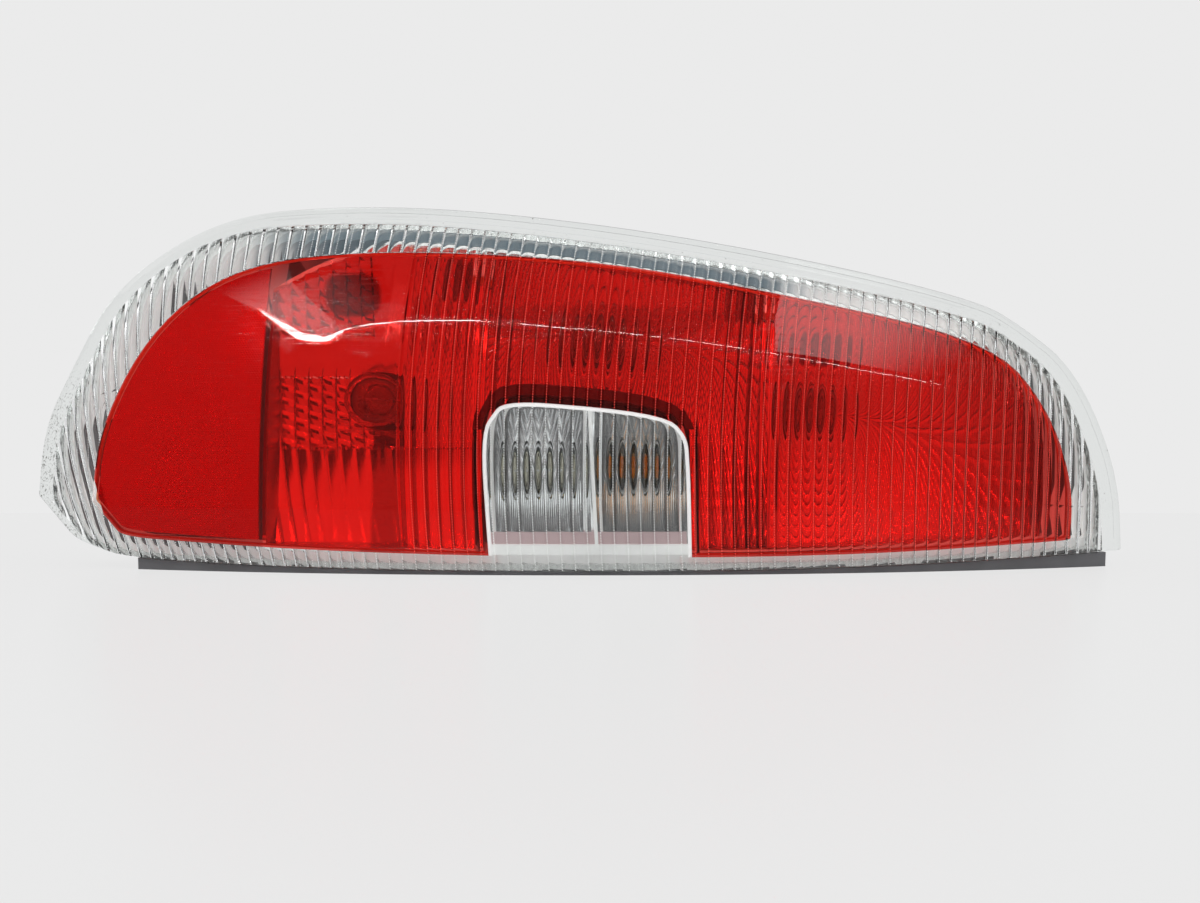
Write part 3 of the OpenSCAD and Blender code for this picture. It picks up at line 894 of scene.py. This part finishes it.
class Shelf:
    """The finishes of the lamp, each made once."""

    def __init__(self) -> None:
        """Makes every finish."""
        band_flutes = Flutes()
        red_flutes = Flutes(start=-80.0)
        clear = LensPlastic("clear_acrylic", (0.97, 0.985, 0.98), (0.95, 0.96, 0.95), 0.3)
        red = LensPlastic("red_acrylic", (0.86, 0.085, 0.07), (0.95, 0.35, 0.3))
        self.clear_face = clear.outside()
        self.clear_flutes = clear.inside(band_flutes)
        self.red_face = red.outside()
        self.red_flutes = red.inside(red_flutes)
        self.rim = SoiledPlastic("rim_acrylic").material()
        # painted shade: dark patches on the reflectors' film
        self.metallised = MetalFilm("metallised_film", patches=(
            Patch(-88, 32, 10, 44, 0.5), Patch(-106, 126, 13, 10, 0.3), Patch(-54, 132, 8, 10, 0.3),
            Patch(10, 114, 62, 8, 0.72), Patch(-66, 112, 9, 14, 0.7), Patch(112, 101, 13, 8, 0.4),
            Patch(75, 122, 9, 9, 0.45), Patch(213, 55, 7, 44, 0.5),
        )).material()
        # painted light: the window's film glows a little
        self.window_film = MetalFilm("window_film", (0.93, 0.95, 0.96), 0.06, glow=0.09).material()
        # painted shade: dark film for the side walls of the cups
        self.wall_painted_shade = MetalFilm("wall_painted_shade", (0.42, 0.4, 0.4), 0.2).material()
        # painted light: the white plastic, the lining, the rose ledge and the red lip glow
        self.white = Moulding("white_plastic", (0.9, 0.9, 0.89), 0.3, 0.005, 0.3).material()
        self.housing = Moulding("housing_plastic", (0.2, 0.2, 0.21), 0.5, 0.03).material()
        # painted shade: the lining's blue-grey top
        self.lining = Moulding(
            "housing_lining", (0.9, 0.9, 0.89), 0.35, 0.005, 0.3, shade=(0.15, 0.21, 0.25)
        ).material()
        # painted shade: dark strip over the window
        self.shadow = Moulding("painted_shadow_strip", (0.16, 0.03, 0.03), 0.6, 0.01).material()
        self.rose = Moulding("rose_ledge", (0.5, 0.36, 0.37), 0.3, 0.005, 0.3).material()
        self.lip = Moulding("red_lip", (0.95, 0.25, 0.1), 0.25, 0.005, 0.32, (30.0, 90.0)).material()
        self.carrier = Moulding("carrier_plastic", (0.74, 0.74, 0.7), 0.42, 0.015).material()
        self.peg = Moulding("peg_plastic", (0.8, 0.8, 0.77), 0.4, 0.01).material()
        self.rubber = Moulding("black_rubber", (0.03, 0.03, 0.032), 0.75, 0.05).material()
        self.foam = Moulding("seal_foam", (0.045, 0.045, 0.047), 0.9, 0.25).material()
        self.steel = TurnedMetal("zinc_steel", (0.72, 0.72, 0.74)).material()
        self.brass = TurnedMetal("contact_brass", (0.8, 0.64, 0.32), 0.25).material()
        self.cap = TurnedMetal("cap_metal", (0.76, 0.72, 0.58), 0.22).material()
        self.glass = LampGlass("bulb_glass", (0.97, 0.98, 0.98)).material()
        self.amber = LampGlass("amber_glass", (0.97, 0.4, 0.05), (0.6, 0.6, 0.58)).material()
        self.reflex = PrismPlate("reflex_prisms").material()


def dress(piece: bpy.types.Object, *finishes: bpy.types.Material) -> None:
    """Gives an object its finishes, slot by slot."""
    slots = piece.data.materials
    for i, finish in enumerate(finishes):
        if i < len(slots):
            slots[i] = finish
        else:
            slots.append(finish)
    while len(slots) > len(finishes):
        slots.pop()


# Sub-assemblies


@dataclass
class Lens:
    """Two-shot lens: fluted clear band with its window, red part, and the rim with skirt and flange."""

    shelf: Shelf
    skirt_wall: float = 2.6
    skirt_depth: float = 14.0
    border_w: float = 1.7
    seam: float = 0.05

    def band(self) -> bpy.types.Object:
        """Clear band round the red lens, with the window that grows out of its lower side."""
        band = layer("clear_band", 0.0, 3.4, Flutes())
        trim(band, BAND_EDGE.points())
        hole = prism("red_part", RED.inset(-self.seam).points(), -18, 128)
        pierce(hole, window_ring(self.border_w))
        cut(band, hole)
        dress(band, self.shelf.clear_face, self.shelf.clear_flutes)
        smooth(band, 25)
        return band

    def red(self) -> bpy.types.Object:
        """Red part, plain over the reflex reflector and fluted to the right of it."""
        red = layer("red_shell", 0.0, 3.4, Flutes(start=-80.0), along=(-228, 229))
        trim(red, RED.points())
        pierce(red, WINDOW.points())
        dress(red, self.shelf.red_face, self.shelf.red_flutes)
        smooth(red, 25)
        return red

    def rim(self) -> bpy.types.Object:
        """Skirt and stepped flange, swept round the lamp's edge.

        Returns:
            The rim, with its reach outwards kept as an attribute for the grime.
        """
        profile = (
            (-self.skirt_wall, 3.45), (-0.1, 3.45), (0.0, 3.55), (0.0, 5.0), (0.15, 5.2), (0.36, 5.2),
            (0.38, 5.9), (0.68, 5.95), (0.71, 6.6), (0.97, 6.65), (1.0, 6.95), (1.0, 8.15), (0.97, 8.5),
            (0.02, 8.5), (0.0, 8.7), (0.0, self.skirt_depth), (-self.skirt_wall, self.skirt_depth),
        )
        edge = FLANGE.points(12)
        inner = BAND_EDGE.points(12)
        deep = BAND_EDGE.inset(self.skirt_wall).points(12)
        deselect()
        bpy.ops.mesh.primitive_grid_add(x_subdivisions=len(edge), y_subdivisions=len(profile), size=2)
        rim = bpy.context.object
        rim.name = "lens_rim"
        reach = rim.data.attributes.new("reach", "FLOAT", "POINT")
        for i, corner in enumerate(rim.data.vertices):
            around = round((corner.co.x + 1) / 2 * len(edge)) % len(edge)
            out, inset = profile[round((corner.co.y + 1) / 2 * len(profile)) % len(profile)]
            far = edge if out > 0 else deep
            share = out if out > 0 else -out / self.skirt_wall
            x = inner[around][0] + (far[around][0] - inner[around][0]) * share
            z = inner[around][1] + (far[around][1] - inner[around][1]) * share
            corner.co = FACE.on_face(x, z, inset)
            reach.data[i].value = max(out, 0.0)
        tidy_normals(rim, merge=0.00001)
        dress(rim, self.shelf.rim)
        smooth(rim, 30)
        return rim

    def border(self) -> bpy.types.Object:
        """White strip round the window, with the partition and the ledge behind it."""
        border = layer("window_frame", 0.3, 12.0)
        trim(border, window_ring(self.seam))
        trim(border, RED.points())
        pierce(border, window_ring(self.border_w))
        divider = layer("divider", 3.6, 12.0, along=(-20, 30))
        trim(divider, [(6.9, 12), (8.7, 12), (5.0, 72.9), (3.2, 72.9)])
        ledge = layer("ledge", 3.6, 9.0, along=(-50, 56))
        trim(ledge, WINDOW.inset(self.border_w).points())
        trim(ledge, oblong((-60, 60), (8.9, 13.3)))
        border = join([border, divider, ledge], "window_frame")
        dress(border, self.shelf.white)
        smooth(border, 30)
        return border

    def step(self) -> bpy.types.Object:
        """Rose-coloured step above the white ledge of the window."""
        step = layer("rose_step", 4.2, 10.0, along=(-50, 56))
        trim(step, WINDOW.inset(self.border_w + 0.6).points())
        trim(step, oblong((-60, 60), (13.5, 18.6)))
        dress(step, self.shelf.rose)
        return step

    def lip(self) -> bpy.types.Object:
        """Thin rib behind the edge of the red part, and a dark strip of painted shade over the window."""
        lip = layer("red_lip", 3.5, 6.5, along=(-228, 229))
        trim(lip, RED.inset(0.8).points())
        pierce(lip, RED.inset(1.6).points())
        pierce(lip, window_ring(-2))
        # painted shade: a dark strip set over the window
        shade = layer("painted_shadow_over_window", 4.6, 9.0, along=(-60, 66))
        trim(shade, WINDOW.grown(5.0, 8.2, 5.0, 0).points())
        pierce(shade, WINDOW.grown(1.5, 3.6, 1.5, 0).points())
        trim(shade, oblong((-70, 80), (63, 120)))
        for slot, part in enumerate((lip, shade)):
            dress(part, self.shelf.lip, self.shelf.shadow)
            for face in part.data.polygons:
                face.material_index = slot
        lip = join([lip, shade], "red_lip")
        smooth(lip, 30)
        return lip

    def reflex(self) -> bpy.types.Object:
        """Prism plate behind the plain left end of the red part."""
        plate = layer("reflex_plate", 3.6, 6.0, along=(-228, -142))
        trim(plate, RED.inset(3).points())
        trim(plate, oblong((-240, -142), (0, 160)))
        dress(plate, self.shelf.reflex, self.shelf.reflex)
        smooth(plate, 30)
        return plate

    def build(self) -> None:
        """Builds the lens's pieces in place of the plain solids."""
        band, rim, red = self.band(), self.rim(), self.red()
        for piece, nodes in (
            (band, ["clear_lens"]), (rim, []), (red, ["red_lens"]), (self.border(), ["window_border"]),
            (self.reflex(), ["reflex_reflector"]), (self.step(), []), (self.lip(), []),
        ):
            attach(piece, "root")
            if nodes:
                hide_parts(*nodes)
            LOG.info("%s: %d faces", piece.name, len(piece.data.polygons))


class Relief(Enum):
    """How a reflector's facets are shaped."""

    PILLOWS = "rounded both ways"
    COLUMNS = "rounded across only"
    ROWS = "rounded up only"
    PLAIN = "smooth bowl"


@dataclass(frozen=True)
class Bowl:
    """Concave floor of a chamber."""

    centre: Spot
    depth: float
    radius: float

    def at(self, x: float, z: float) -> float:
        """Depth of the bowl at a place in the front view."""
        away = (x - self.centre[0]) ** 2 + (z - self.centre[1]) ** 2
        return max(self.depth - self.radius + math.sqrt(max(self.radius**2 - away, 0.0)), 3.0)

    def slope(self, x: float, z: float) -> Spot:
        """Slope of the bowl's depth along and up at a place in the front view."""
        across, rise = x - self.centre[0], z - self.centre[1]
        drop = math.sqrt(max(self.radius**2 - across**2 - rise**2, 2500.0))
        return -across / drop, -rise / drop

    def tread(self, aim: "Bowl", centre: Spot, spot: Spot) -> float:
        """Depth of a facet that stands in this bowl and has the slope of another.

        Args:
            aim: The bowl whose slope the facet takes.
            centre: Middle of the facet.
            spot: Place in the facet.

        Returns:
            The depth.
        """
        across, up = aim.slope(*centre)
        return self.at(*centre) + across * (spot[0] - centre[0]) + up * (spot[1] - centre[1])


@dataclass
class Reflector:
    """Metallised cup of one chamber: its bowl is cut into facets, and a collar holds the bulb."""

    name: str
    node: str
    shelf: Shelf
    cell: Callable[[float], bpy.types.Object]
    bowl: Bowl
    bulb: Spot
    facets: Callable[[], bpy.types.Object]
    film: bpy.types.Material
    wall: float = 1.6
    gap: float = 14.0
    hole_r: float = 13.7
    floor_depth: float = 83.8

    def rod(self, radius: float, front: float, back: float) -> bpy.types.Object:
        """Cylinder along the bulb's axis between two depths."""
        deselect()
        bpy.ops.mesh.primitive_cylinder_add(
            vertices=64, radius=radius * MM, depth=(back - front) * MM, rotation=(math.pi / 2, 0, 0),
            location=FACE.spot(*self.bulb, (front + back) / 2),
        )
        rod = bpy.context.object
        seat(rod)
        return rod

    def build(self) -> None:
        """Builds the cup and puts it in place of the plain one."""
        cup = self.cell(0.0)
        cup.name = self.name
        cut(cup, layer("behind_lens", self.gap, 100.0, step=8.0), "INTERSECT")
        deselect()
        bowl = self.bowl
        bpy.ops.mesh.primitive_uv_sphere_add(
            segments=96, ring_count=48, radius=(bowl.radius + self.wall) * MM,
            location=FACE.spot(*bowl.centre, bowl.depth - bowl.radius),
        )
        ball = bpy.context.object
        seat(ball)
        cut(cup, ball, "INTERSECT")
        cut(cup, self.rod(self.hole_r + self.wall, bowl.depth - 12, self.floor_depth), "UNION")
        core = self.facets()
        cut(core, self.cell(self.wall), "INTERSECT")
        cut(cup, core)
        cut(cup, self.rod(self.hole_r, -60, 120))
        dress(cup, self.film, self.shelf.wall_painted_shade)
        # painted shade: faces that stand sideways to the lens get the dark film
        for face in cup.data.polygons:
            face.material_index = 1 if abs(face.normal.y) < 0.15 else 0
        smooth(cup, 11)
        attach(cup, "root")
        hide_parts(self.node)
        LOG.info("%s: %d faces", cup.name, len(cup.data.polygons))


@dataclass(frozen=True)
class FacetGrid:
    """Facets in columns: each slants down to one side, and each column starts higher than the last."""

    bowl: Bowl
    across: Spot
    up: Spot
    width: float = 6.3
    height: float = 6.3
    rise: float = 3.1
    drop: float = 1.7
    crown: float = 1.1
    parts: int = 8
    vee: float = 0.0
    lean: Callable[[float], float] = lambda z: 0.0
    relief: Callable[[float, float], Relief] = lambda x, z: Relief.PILLOWS

    def core(self) -> bpy.types.Object:
        """Solid in front of the faceted bowl, which is cut out of the cup."""
        columns = math.ceil((self.across[1] - self.across[0]) / self.width)
        spread = columns * self.rise
        low, high = self.up[0] - max(0.0, spread), self.up[1] - min(0.0, spread) + abs(self.drop)
        rows = math.ceil((high - low) / self.height)

        def place(column: float, row: float) -> Spot:
            """Place in the front view."""
            cell, part = divmod(column, self.parts)
            x = self.across[0] + column / self.parts * self.width
            z = low + row / self.parts * self.height + cell * self.rise - self.drop * part / (self.parts - 1)
            z += self.vee * abs(x - self.bowl.centre[0])
            return x + self.lean(z), z

        def floor(column: float, row: float) -> Vector:
            """Point of the faceted bowl."""
            x, z = place(column, row)
            a = (column % self.parts) / self.parts * 2 - 1
            b = (row % self.parts) / self.parts * 2 - 1
            kind = self.relief(x, z)
            bulge = {
                Relief.PILLOWS: 2 - a * a - b * b, Relief.COLUMNS: 1 - a * a,
                Relief.ROWS: 1 - b * b, Relief.PLAIN: 0.0,
            }[kind]
            return FACE.spot(x, z, self.bowl.at(x, z) - self.crown * bulge / 2)

        def mouth(column: float, row: float) -> Vector:
            """Point in front of the lens."""
            x, z = place(column, row)
            return FACE.spot(x, z, -5)

        return quilt("core", columns * self.parts, rows * self.parts, floor, mouth)


@dataclass(frozen=True)
class FacetFan:
    """Facets in rings and rays round a bulb, stepped so that each aims as another bowl would."""

    bowl: Bowl
    aim: Bowl
    hub: Spot
    rays: int = 72
    inner_r: float = 9.0
    outer_r: float = 150.0
    ring: float = 6.5
    crown: float = 0.5
    ray_crown: float = 0.5
    parts: int = 4
    twist: float = 0.0

    def core(self) -> bpy.types.Object:
        """Solid in front of the faceted bowl, which is cut out of the cup."""
        rings = math.ceil((self.outer_r - self.inner_r) / self.ring)
        around = self.rays * self.parts

        def place(column: float, row: float) -> Spot:
            """Place in the front view."""
            out = self.inner_r + row / self.parts * self.ring
            angle = -2 * math.pi * (column % around) / around + self.twist * out
            return self.hub[0] + out * math.cos(angle), self.hub[1] + out * math.sin(angle)

        def floor(column: float, row: float) -> Vector:
            """Point of the faceted bowl."""
            x, z = place(column, row)
            a = (column % self.parts) / self.parts * 2 - 1
            b = (row % self.parts) / self.parts * 2 - 1
            size = min(1.0, (self.inner_r + row / self.parts * self.ring) / 60.0)
            bulge = self.ray_crown * size * (1 - a * a) + self.crown * (1 - b * b)
            middle = place((column // self.parts + 0.5) * self.parts, (row // self.parts + 0.5) * self.parts)
            depth = self.bowl.tread(self.aim, middle, (x, z)) if self.aim != self.bowl else self.bowl.at(x, z)
            return FACE.spot(x, z, max(depth - bulge / 2, 1.0))

        def mouth(column: float, row: float) -> Vector:
            """Point in front of the lens."""
            x, z = place(column, row)
            return FACE.spot(x, z, -5)

        return quilt("core", around, rings * self.parts, floor, mouth, ring=True)


@dataclass
class Chambers:
    """The five reflectors behind the lens."""

    shelf: Shelf
    reflex_right: float = -142.0
    split_left: float = -44.5
    split_right: float = 84.0
    right_end: float = 216.2
    window_split: float = 5.5

    def housing_cell(self, across: Spot, inset: float, back: float = 82.0) -> bpy.types.Object:
        """Block of a large chamber.

        Args:
            across: The chamber's two partitions.
            inset: Wall left off all round.
            back: Depth of the block's back.

        Returns:
            The solid.
        """
        room = prism("room", BAND_EDGE.inset(7.0 + inset).points(), -8, back)
        trim(room, oblong((across[0] + inset, across[1] - inset), (-5, 180)))
        return room

    def middle_cell(self, inset: float) -> bpy.types.Object:
        """Block of the middle chamber, which goes over the window and down its right side."""
        room = self.housing_cell((self.split_left + 0.2, self.split_right - 0.2), inset)
        pierce(room, window_ring(-2.6 - inset))
        pierce(room, oblong((self.split_left - 1, self.split_left + 19), (-8, 56)))
        return room

    def window_cell(self, across: Spot, inset: float) -> bpy.types.Object:
        """Half of the window's chamber."""
        room = prism("room", window_ring(inset), -8, 68.0)
        trim(room, oblong((across[0] + inset, across[1] - inset), (9.5 + inset, 90)))
        return room

    def left_relief(self, x: float, z: float) -> Relief:
        """Bricks across the middle of the left chamber, columns under them, a plain patch above."""
        if z < 55:
            return Relief.COLUMNS
        if (88 < z < 108 and x < -97) or -97 < x < -79:
            return Relief.PLAIN
        return Relief.PILLOWS

    def window_relief(self, x: float, z: float) -> Relief:
        """Facets rounded up in the upper part of the window's chambers, and across in the lower part."""
        return Relief.ROWS if z > 40 else Relief.COLUMNS

    def window_grid(self, bowl: Bowl, across: Spot, crown: float) -> FacetGrid:
        """Facets of one half of the window."""
        return FacetGrid(bowl, across, (-20, 90), 6.0, 6.6, 0, 0, crown, 8, 0.5, relief=self.window_relief)

    def build(self) -> None:
        """Builds the reflectors."""
        left = Bowl((-95, 74), 79, 170)
        middle = Bowl((20, 90), 79, 170)
        right = Bowl((150, 62), 79, 170)
        reversing = Bowl((-19, 42), 66, 42)
        indicator = Bowl((27, 42), 66, 42)
        left_grid = FacetGrid(
            left, (-165, -30), (-10, 165), relief=self.left_relief,
            lean=lambda z: 0.0022 * max(0.0, 75 - z) ** 2,
        )
        middle_fan = FacetFan(
            middle, middle, BULBS["middle"], 64, ring=7.6, parts=6, crown=0.9, ray_crown=0.8,
        )
        right_aim = Bowl((112, 76), 79, 185)
        right_fan = FacetFan(
            right, right_aim, BULBS["right"], 72, ring=5.0, parts=6, crown=0.6, ray_crown=0.8, twist=0.002,
        )
        film, window_film = self.shelf.metallised, self.shelf.window_film
        for name, cell, bowl, facets, finish in (
            ("left", lambda inset: self.housing_cell((self.reflex_right, self.split_left - 0.2), inset),
             left, left_grid, film),
            ("middle", self.middle_cell, middle, middle_fan, film),
            ("right", lambda inset: self.housing_cell((self.split_right + 0.2, self.right_end), inset),
             right, right_fan, film),
            ("reversing", lambda inset: self.window_cell((-43, self.window_split - 0.1), inset),
             reversing, self.window_grid(reversing, (-50, 10), 1.8), window_film),
            ("indicator", lambda inset: self.window_cell((self.window_split + 0.1, 50), inset),
             indicator, self.window_grid(indicator, (0, 56), 1.3), window_film),
        ):
            Reflector(
                name + "_cup", name + "_reflector", self.shelf, cell, bowl, BULBS[name], facets.core, finish
            ).build()


@dataclass
class Carried:
    """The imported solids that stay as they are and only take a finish."""

    shelf: Shelf
    nodes: dict[str, bpy.types.Object] = field(default_factory=dict)

    def build(self) -> None:
        """Dresses each solid."""
        finishes = {
            "housing": self.shelf.housing, "bulb_carrier": self.shelf.carrier,
            "carrier_gasket": self.shelf.rubber, "contact_strips": self.shelf.brass,
            "carrier_screws": self.shelf.steel, "body_seal": self.shelf.foam,
            "fixing_studs": self.shelf.steel, "locating_peg": self.shelf.peg, "vent_cap": self.shelf.rubber,
        }
        for name, node in self.nodes.items():
            finish = finishes.get(name)
            if finish is None and name.endswith("_cap"):
                finish = self.shelf.cap
            if finish is not None:
                dress(node, finish)
                LOG.info("%s: dressed", name)
        self.line_housing(self.nodes["housing"])

    def line_housing(self, housing: bpy.types.Object) -> None:
        """Gives the faces inside the housing a pale finish.

        Args:
            housing: The housing.
        """
        housing.data.materials.append(self.shelf.lining)
        rim, red = BAND_EDGE.inset(1.4).points(), RED.inset(0.5).points()
        heart = Vector((-10 * MM, 0, 75 * MM))
        for face in housing.data.polygons:
            x, z = face.center.x / MM, face.center.z / MM
            depth = face.center.y / MM - FACE.front_y
            inward = face.normal.dot(heart - face.center) > 0 or face.normal.y < -0.3
            if inside((x, z), rim) and not inside((x, z), red) and inward and depth < 113:
                face.material_index = 1


def lathe(name: str, at: Spot, profile: Sequence[Spot], around: int = 48) -> bpy.types.Object:
    """Closed turned solid whose axis runs back from the front view.

    Args:
        name: Name of the object.
        at: Place of the axis in the front view.
        profile: Radius and depth of each corner of its closed section.
        around: Faces around the axis.

    Returns:
        The turned solid.
    """
    deselect()
    bpy.ops.mesh.primitive_grid_add(x_subdivisions=around, y_subdivisions=len(profile), size=2)
    turned = bpy.context.object
    turned.name = name
    for corner in turned.data.vertices:
        angle = (corner.co.x + 1) * math.pi
        radius, depth = profile[round((corner.co.y + 1) / 2 * len(profile)) % len(profile)]
        corner.co = FACE.spot(at[0] + radius * math.cos(angle), at[1] + radius * math.sin(angle), depth)
    tidy_normals(turned, merge=0.000001)
    return turned


@dataclass
class Bulb:
    """Hollow glass bulb with its filament and supports."""

    name: str
    node: str
    at: Spot
    glass: bpy.types.Material
    wire: bpy.types.Material
    radius: float = 12.5
    centre: float = 50.5
    neck_r: float = 6.7
    foot: float = 69.5
    wall: float = 0.8

    def envelope(self) -> bpy.types.Object:
        """Pear-shaped glass, one wall thick."""
        outer = []
        for i in range(13):
            angle = math.radians(i * 11.5)
            outer.append((self.radius * math.sin(angle), self.centre - self.radius * math.cos(angle)))
        outer += [(self.neck_r, outer[-1][1] + 2.4), (self.neck_r, self.foot)]
        inner = [
            (max(r - self.wall, 0.0), d + (self.wall if i < 4 else 0.0)) for i, (r, d) in enumerate(outer)
        ]
        glass = lathe(self.name, self.at, outer + inner[::-1])
        dress(glass, self.glass)
        smooth(glass, 60)
        return glass

    def filament(self) -> bpy.types.Object:
        """Straight filament on two supports that run back into the bulb's neck."""
        x, z = self.at
        parts = []
        for side in (-2.6, 2.6):
            parts.append(lathe("support", (x + side, z), [(0, 49), (0.3, 49), (0.3, 68), (0, 68)], 8))
        deselect()
        bpy.ops.mesh.primitive_cylinder_add(
            vertices=12, radius=0.5 * MM, depth=5.6 * MM, location=FACE.spot(x, z, 49.3),
            rotation=(0, math.pi / 2, 0),
        )
        coil = bpy.context.object
        seat(coil)
        filament = join([*parts, coil], self.name + "_filament")
        dress(filament, self.wire)
        smooth(filament, 30)
        return filament

    def build(self) -> None:
        """Builds the bulb in place of its plain solid."""
        glass, filament = self.envelope(), self.filament()
        for piece in (glass, filament):
            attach(piece, "root")
        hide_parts(self.node)
        "amber_glass" if "indicator" in self.node else "bulb_glass"


@dataclass
class Bulbs:
    """The five bulbs."""

    shelf: Shelf

    def build(self) -> None:
        """Builds each bulb at its place."""
        for name, at in BULBS.items():
            glass = self.shelf.amber if name == "indicator" else self.shelf.glass
            Bulb(name + "_glass", name + "_bulb_glass", at, glass, self.shelf.steel).build()


# The studio


@dataclass
class Studio:
    """Pale table and room, soft overhead panels and the camera."""

    pale: float = 0.83
    level: float = 0.8
    camera_z: float = 53.5
    camera_x: float = 9.0
    distance: float = 800.0
    view_width: float = 516.0
    front: float = 0.14
    back: float = 1.08
    ceiling: float = 1500.0

    def room(self) -> None:
        """Pale room that is dim in front of the lamp, where the camera stands."""
        world = bpy.data.worlds.new("room")
        bpy.context.scene.world = world
        desk = NodeDesk("room", world)
        axes = desk.node("SeparateXYZ", Vector=desk.node("TexCoord").outputs["Generated"])
        path = desk.node("LightPath")
        through = path.outputs["Is Transmission Ray"]
        mirrored = desk.math("MAXIMUM", path.outputs["Is Glossy Ray"], through)
        shown = path.outputs["Is Camera Ray"]
        ahead = desk.fade(axes.outputs["Y"], 0.1, -0.3)
        beside = desk.away(axes.outputs["X"], 0.02)
        figure = desk.math("MULTIPLY", desk.fade(beside, 0.42, 0.3), desk.fade(axes.outputs["Z"], 0.38, 0.28))
        figure = desk.math("MULTIPLY", figure, ahead)
        inner = desk.math("MULTIPLY_ADD", figure, self.front - self.back, self.back)
        behind = desk.fade(axes.outputs["Y"], 0.3, 0.7)
        inner = desk.between(behind, inner, self.level)
        outer = desk.fade(axes.outputs["Y"], 0.3, 0.75, 0.05, 0.72)
        level = desk.between(mirrored, self.level, desk.between(through, outer, inner))
        level = desk.between(shown, level, self.pale)
        desk.end(desk.node("Background", Color=(1, 1, 1, 1), Strength=level).outputs["Background"])

    def table(self) -> None:
        """Glossy white table under the lamp."""
        deselect()
        bpy.ops.mesh.primitive_plane_add(size=1)
        table = bpy.context.object
        table.name = "table"
        near, far = -6.0, 0.75
        for corner in table.data.vertices:
            corner.co = Vector((corner.co.x * 16, near if corner.co.y < 0 else far, 0))
        desk = NodeDesk("table_lacquer")
        path = desk.node("LightPath")
        through = path.outputs["Is Transmission Ray"]
        seen = desk.math("MAXIMUM", path.outputs["Is Camera Ray"], through)
        shine = desk.math("SUBTRACT", path.outputs["Is Glossy Ray"], through, clamp=True)
        lacquer = desk.node(
            "BsdfPrincipled", Base_Color=(0.82, 0.82, 0.82, 1), Roughness=0.22, Specular_IOR_Level=0.4
        )
        mixed = desk.blend(desk.math("MULTIPLY", seen, 0.88), lacquer.outputs["BSDF"], desk.glow(self.pale))
        dress(table, desk.end(desk.blend(desk.math("MULTIPLY", shine, 0.85), mixed, desk.glow(0.06))))

    def glow(
        self,
        name: str,
        corners: Sequence[Spot],
        radiance: float,
        along: Spot | None = None,
        back: Spot | None = None,
    ) -> None:
        """Glowing flat shape under the ceiling.

        Args:
            name: Name of the shape.
            corners: Its corners in millimetres: along the lamp, and depth.
            radiance: Its brightness, where 1 is white.
            along: Places along the lamp where it is dark and where it is full.
            back: Depths where it is dark and where it is full.
        """
        panel = prism(name, corners, self.ceiling, self.ceiling + 1)
        for corner in panel.data.vertices:
            x, y, z = corner.co
            corner.co = Vector((x, z + FACE.front_y * MM, y - FACE.front_y * MM))
        tidy_normals(panel)
        desk = NodeDesk(name + "_glow")
        strength: object = radiance
        x, y, _ = desk.part()
        if along:
            strength = desk.math("MULTIPLY", strength, desk.fade(x, *along))
        if back:
            strength = desk.math("MULTIPLY", strength, desk.fade(y, *back))
        dress(panel, desk.end(desk.glow(strength)))

    def lights(self) -> None:
        """Overhead panels with a bright front edge and a bright left edge."""
        edge = (
            (-1094, -1068), (-957, -1065), (-812, -1090), (-481, -1187), (-110, -1331), (264, -1413),
            (623, -1476), (1030, -1520), (1585, -1541), (2251, -1460),
        )
        ribbon = [*edge, *((x + 2, d + max(3.0, 15 - (x + 1094) * 0.012)) for x, d in reversed(edge))]
        self.glow("edge_strip", ribbon, 30)
        self.glow("corner_strip", (
            (-1340, -476), (-1350, -715), (-1372, -1040), (-1318, -1132), (-1236, -1170), (-1094, -1072),
            (-1088, -1055), (-1228, -1104), (-1308, -970), (-1314, -791), (-1326, -564),
        ), 30)
        self.glow("left_panel", (
            (-1300, -960), (-1228, -1090), (-1100, -1045), (-1075, -400), (-1010, -160), (-1400, -120),
        ), 2.6, back=(-200, -700))
        self.glow("shade_panel", (
            (-1094, -1040), (-800, -1060), (-700, -420), (-1070, -420),
        ), 0.8, along=(-730, -1050))
        self.glow("right_panel", (
            (700, -500), (830, -1044), (980, -1470), (1510, -1450), (2250, -1370), (1700, -450),
        ), 2.5, along=(2100, 1150))

    def camera(self) -> None:
        """Camera level with the lower half of the lens, as in the photograph."""
        deselect()
        bpy.ops.object.camera_add(
            location=(self.camera_x * MM, (FACE.front_y - self.distance) * MM, self.camera_z * MM),
            rotation=(math.pi / 2, 0, 0),
        )
        camera = bpy.context.object
        camera.data.sensor_width = 36
        camera.data.lens = 36 * self.distance / self.view_width
        camera.data.clip_start = 0.01
        bpy.context.scene.camera = camera

    def build(self) -> None:
        """Sets up the room, table, lights and camera."""
        self.room()
        self.table()
        self.lights()
        self.camera()
        bpy.context.scene.view_settings.view_transform = "Standard"


def main() -> None:
    """Builds the dressed lamp in its studio."""
    logging.basicConfig(level=logging.INFO, format="%(name)s %(message)s")
    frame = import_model()
    deselect()
    shelf = Shelf()
    Studio().build()
    Lens(shelf).build()
    Chambers(shelf).build()
    Bulbs(shelf).build()
    Carried(shelf, frame["nodes"]).build()
    deselect()


if __name__ == "__main__":
    main()
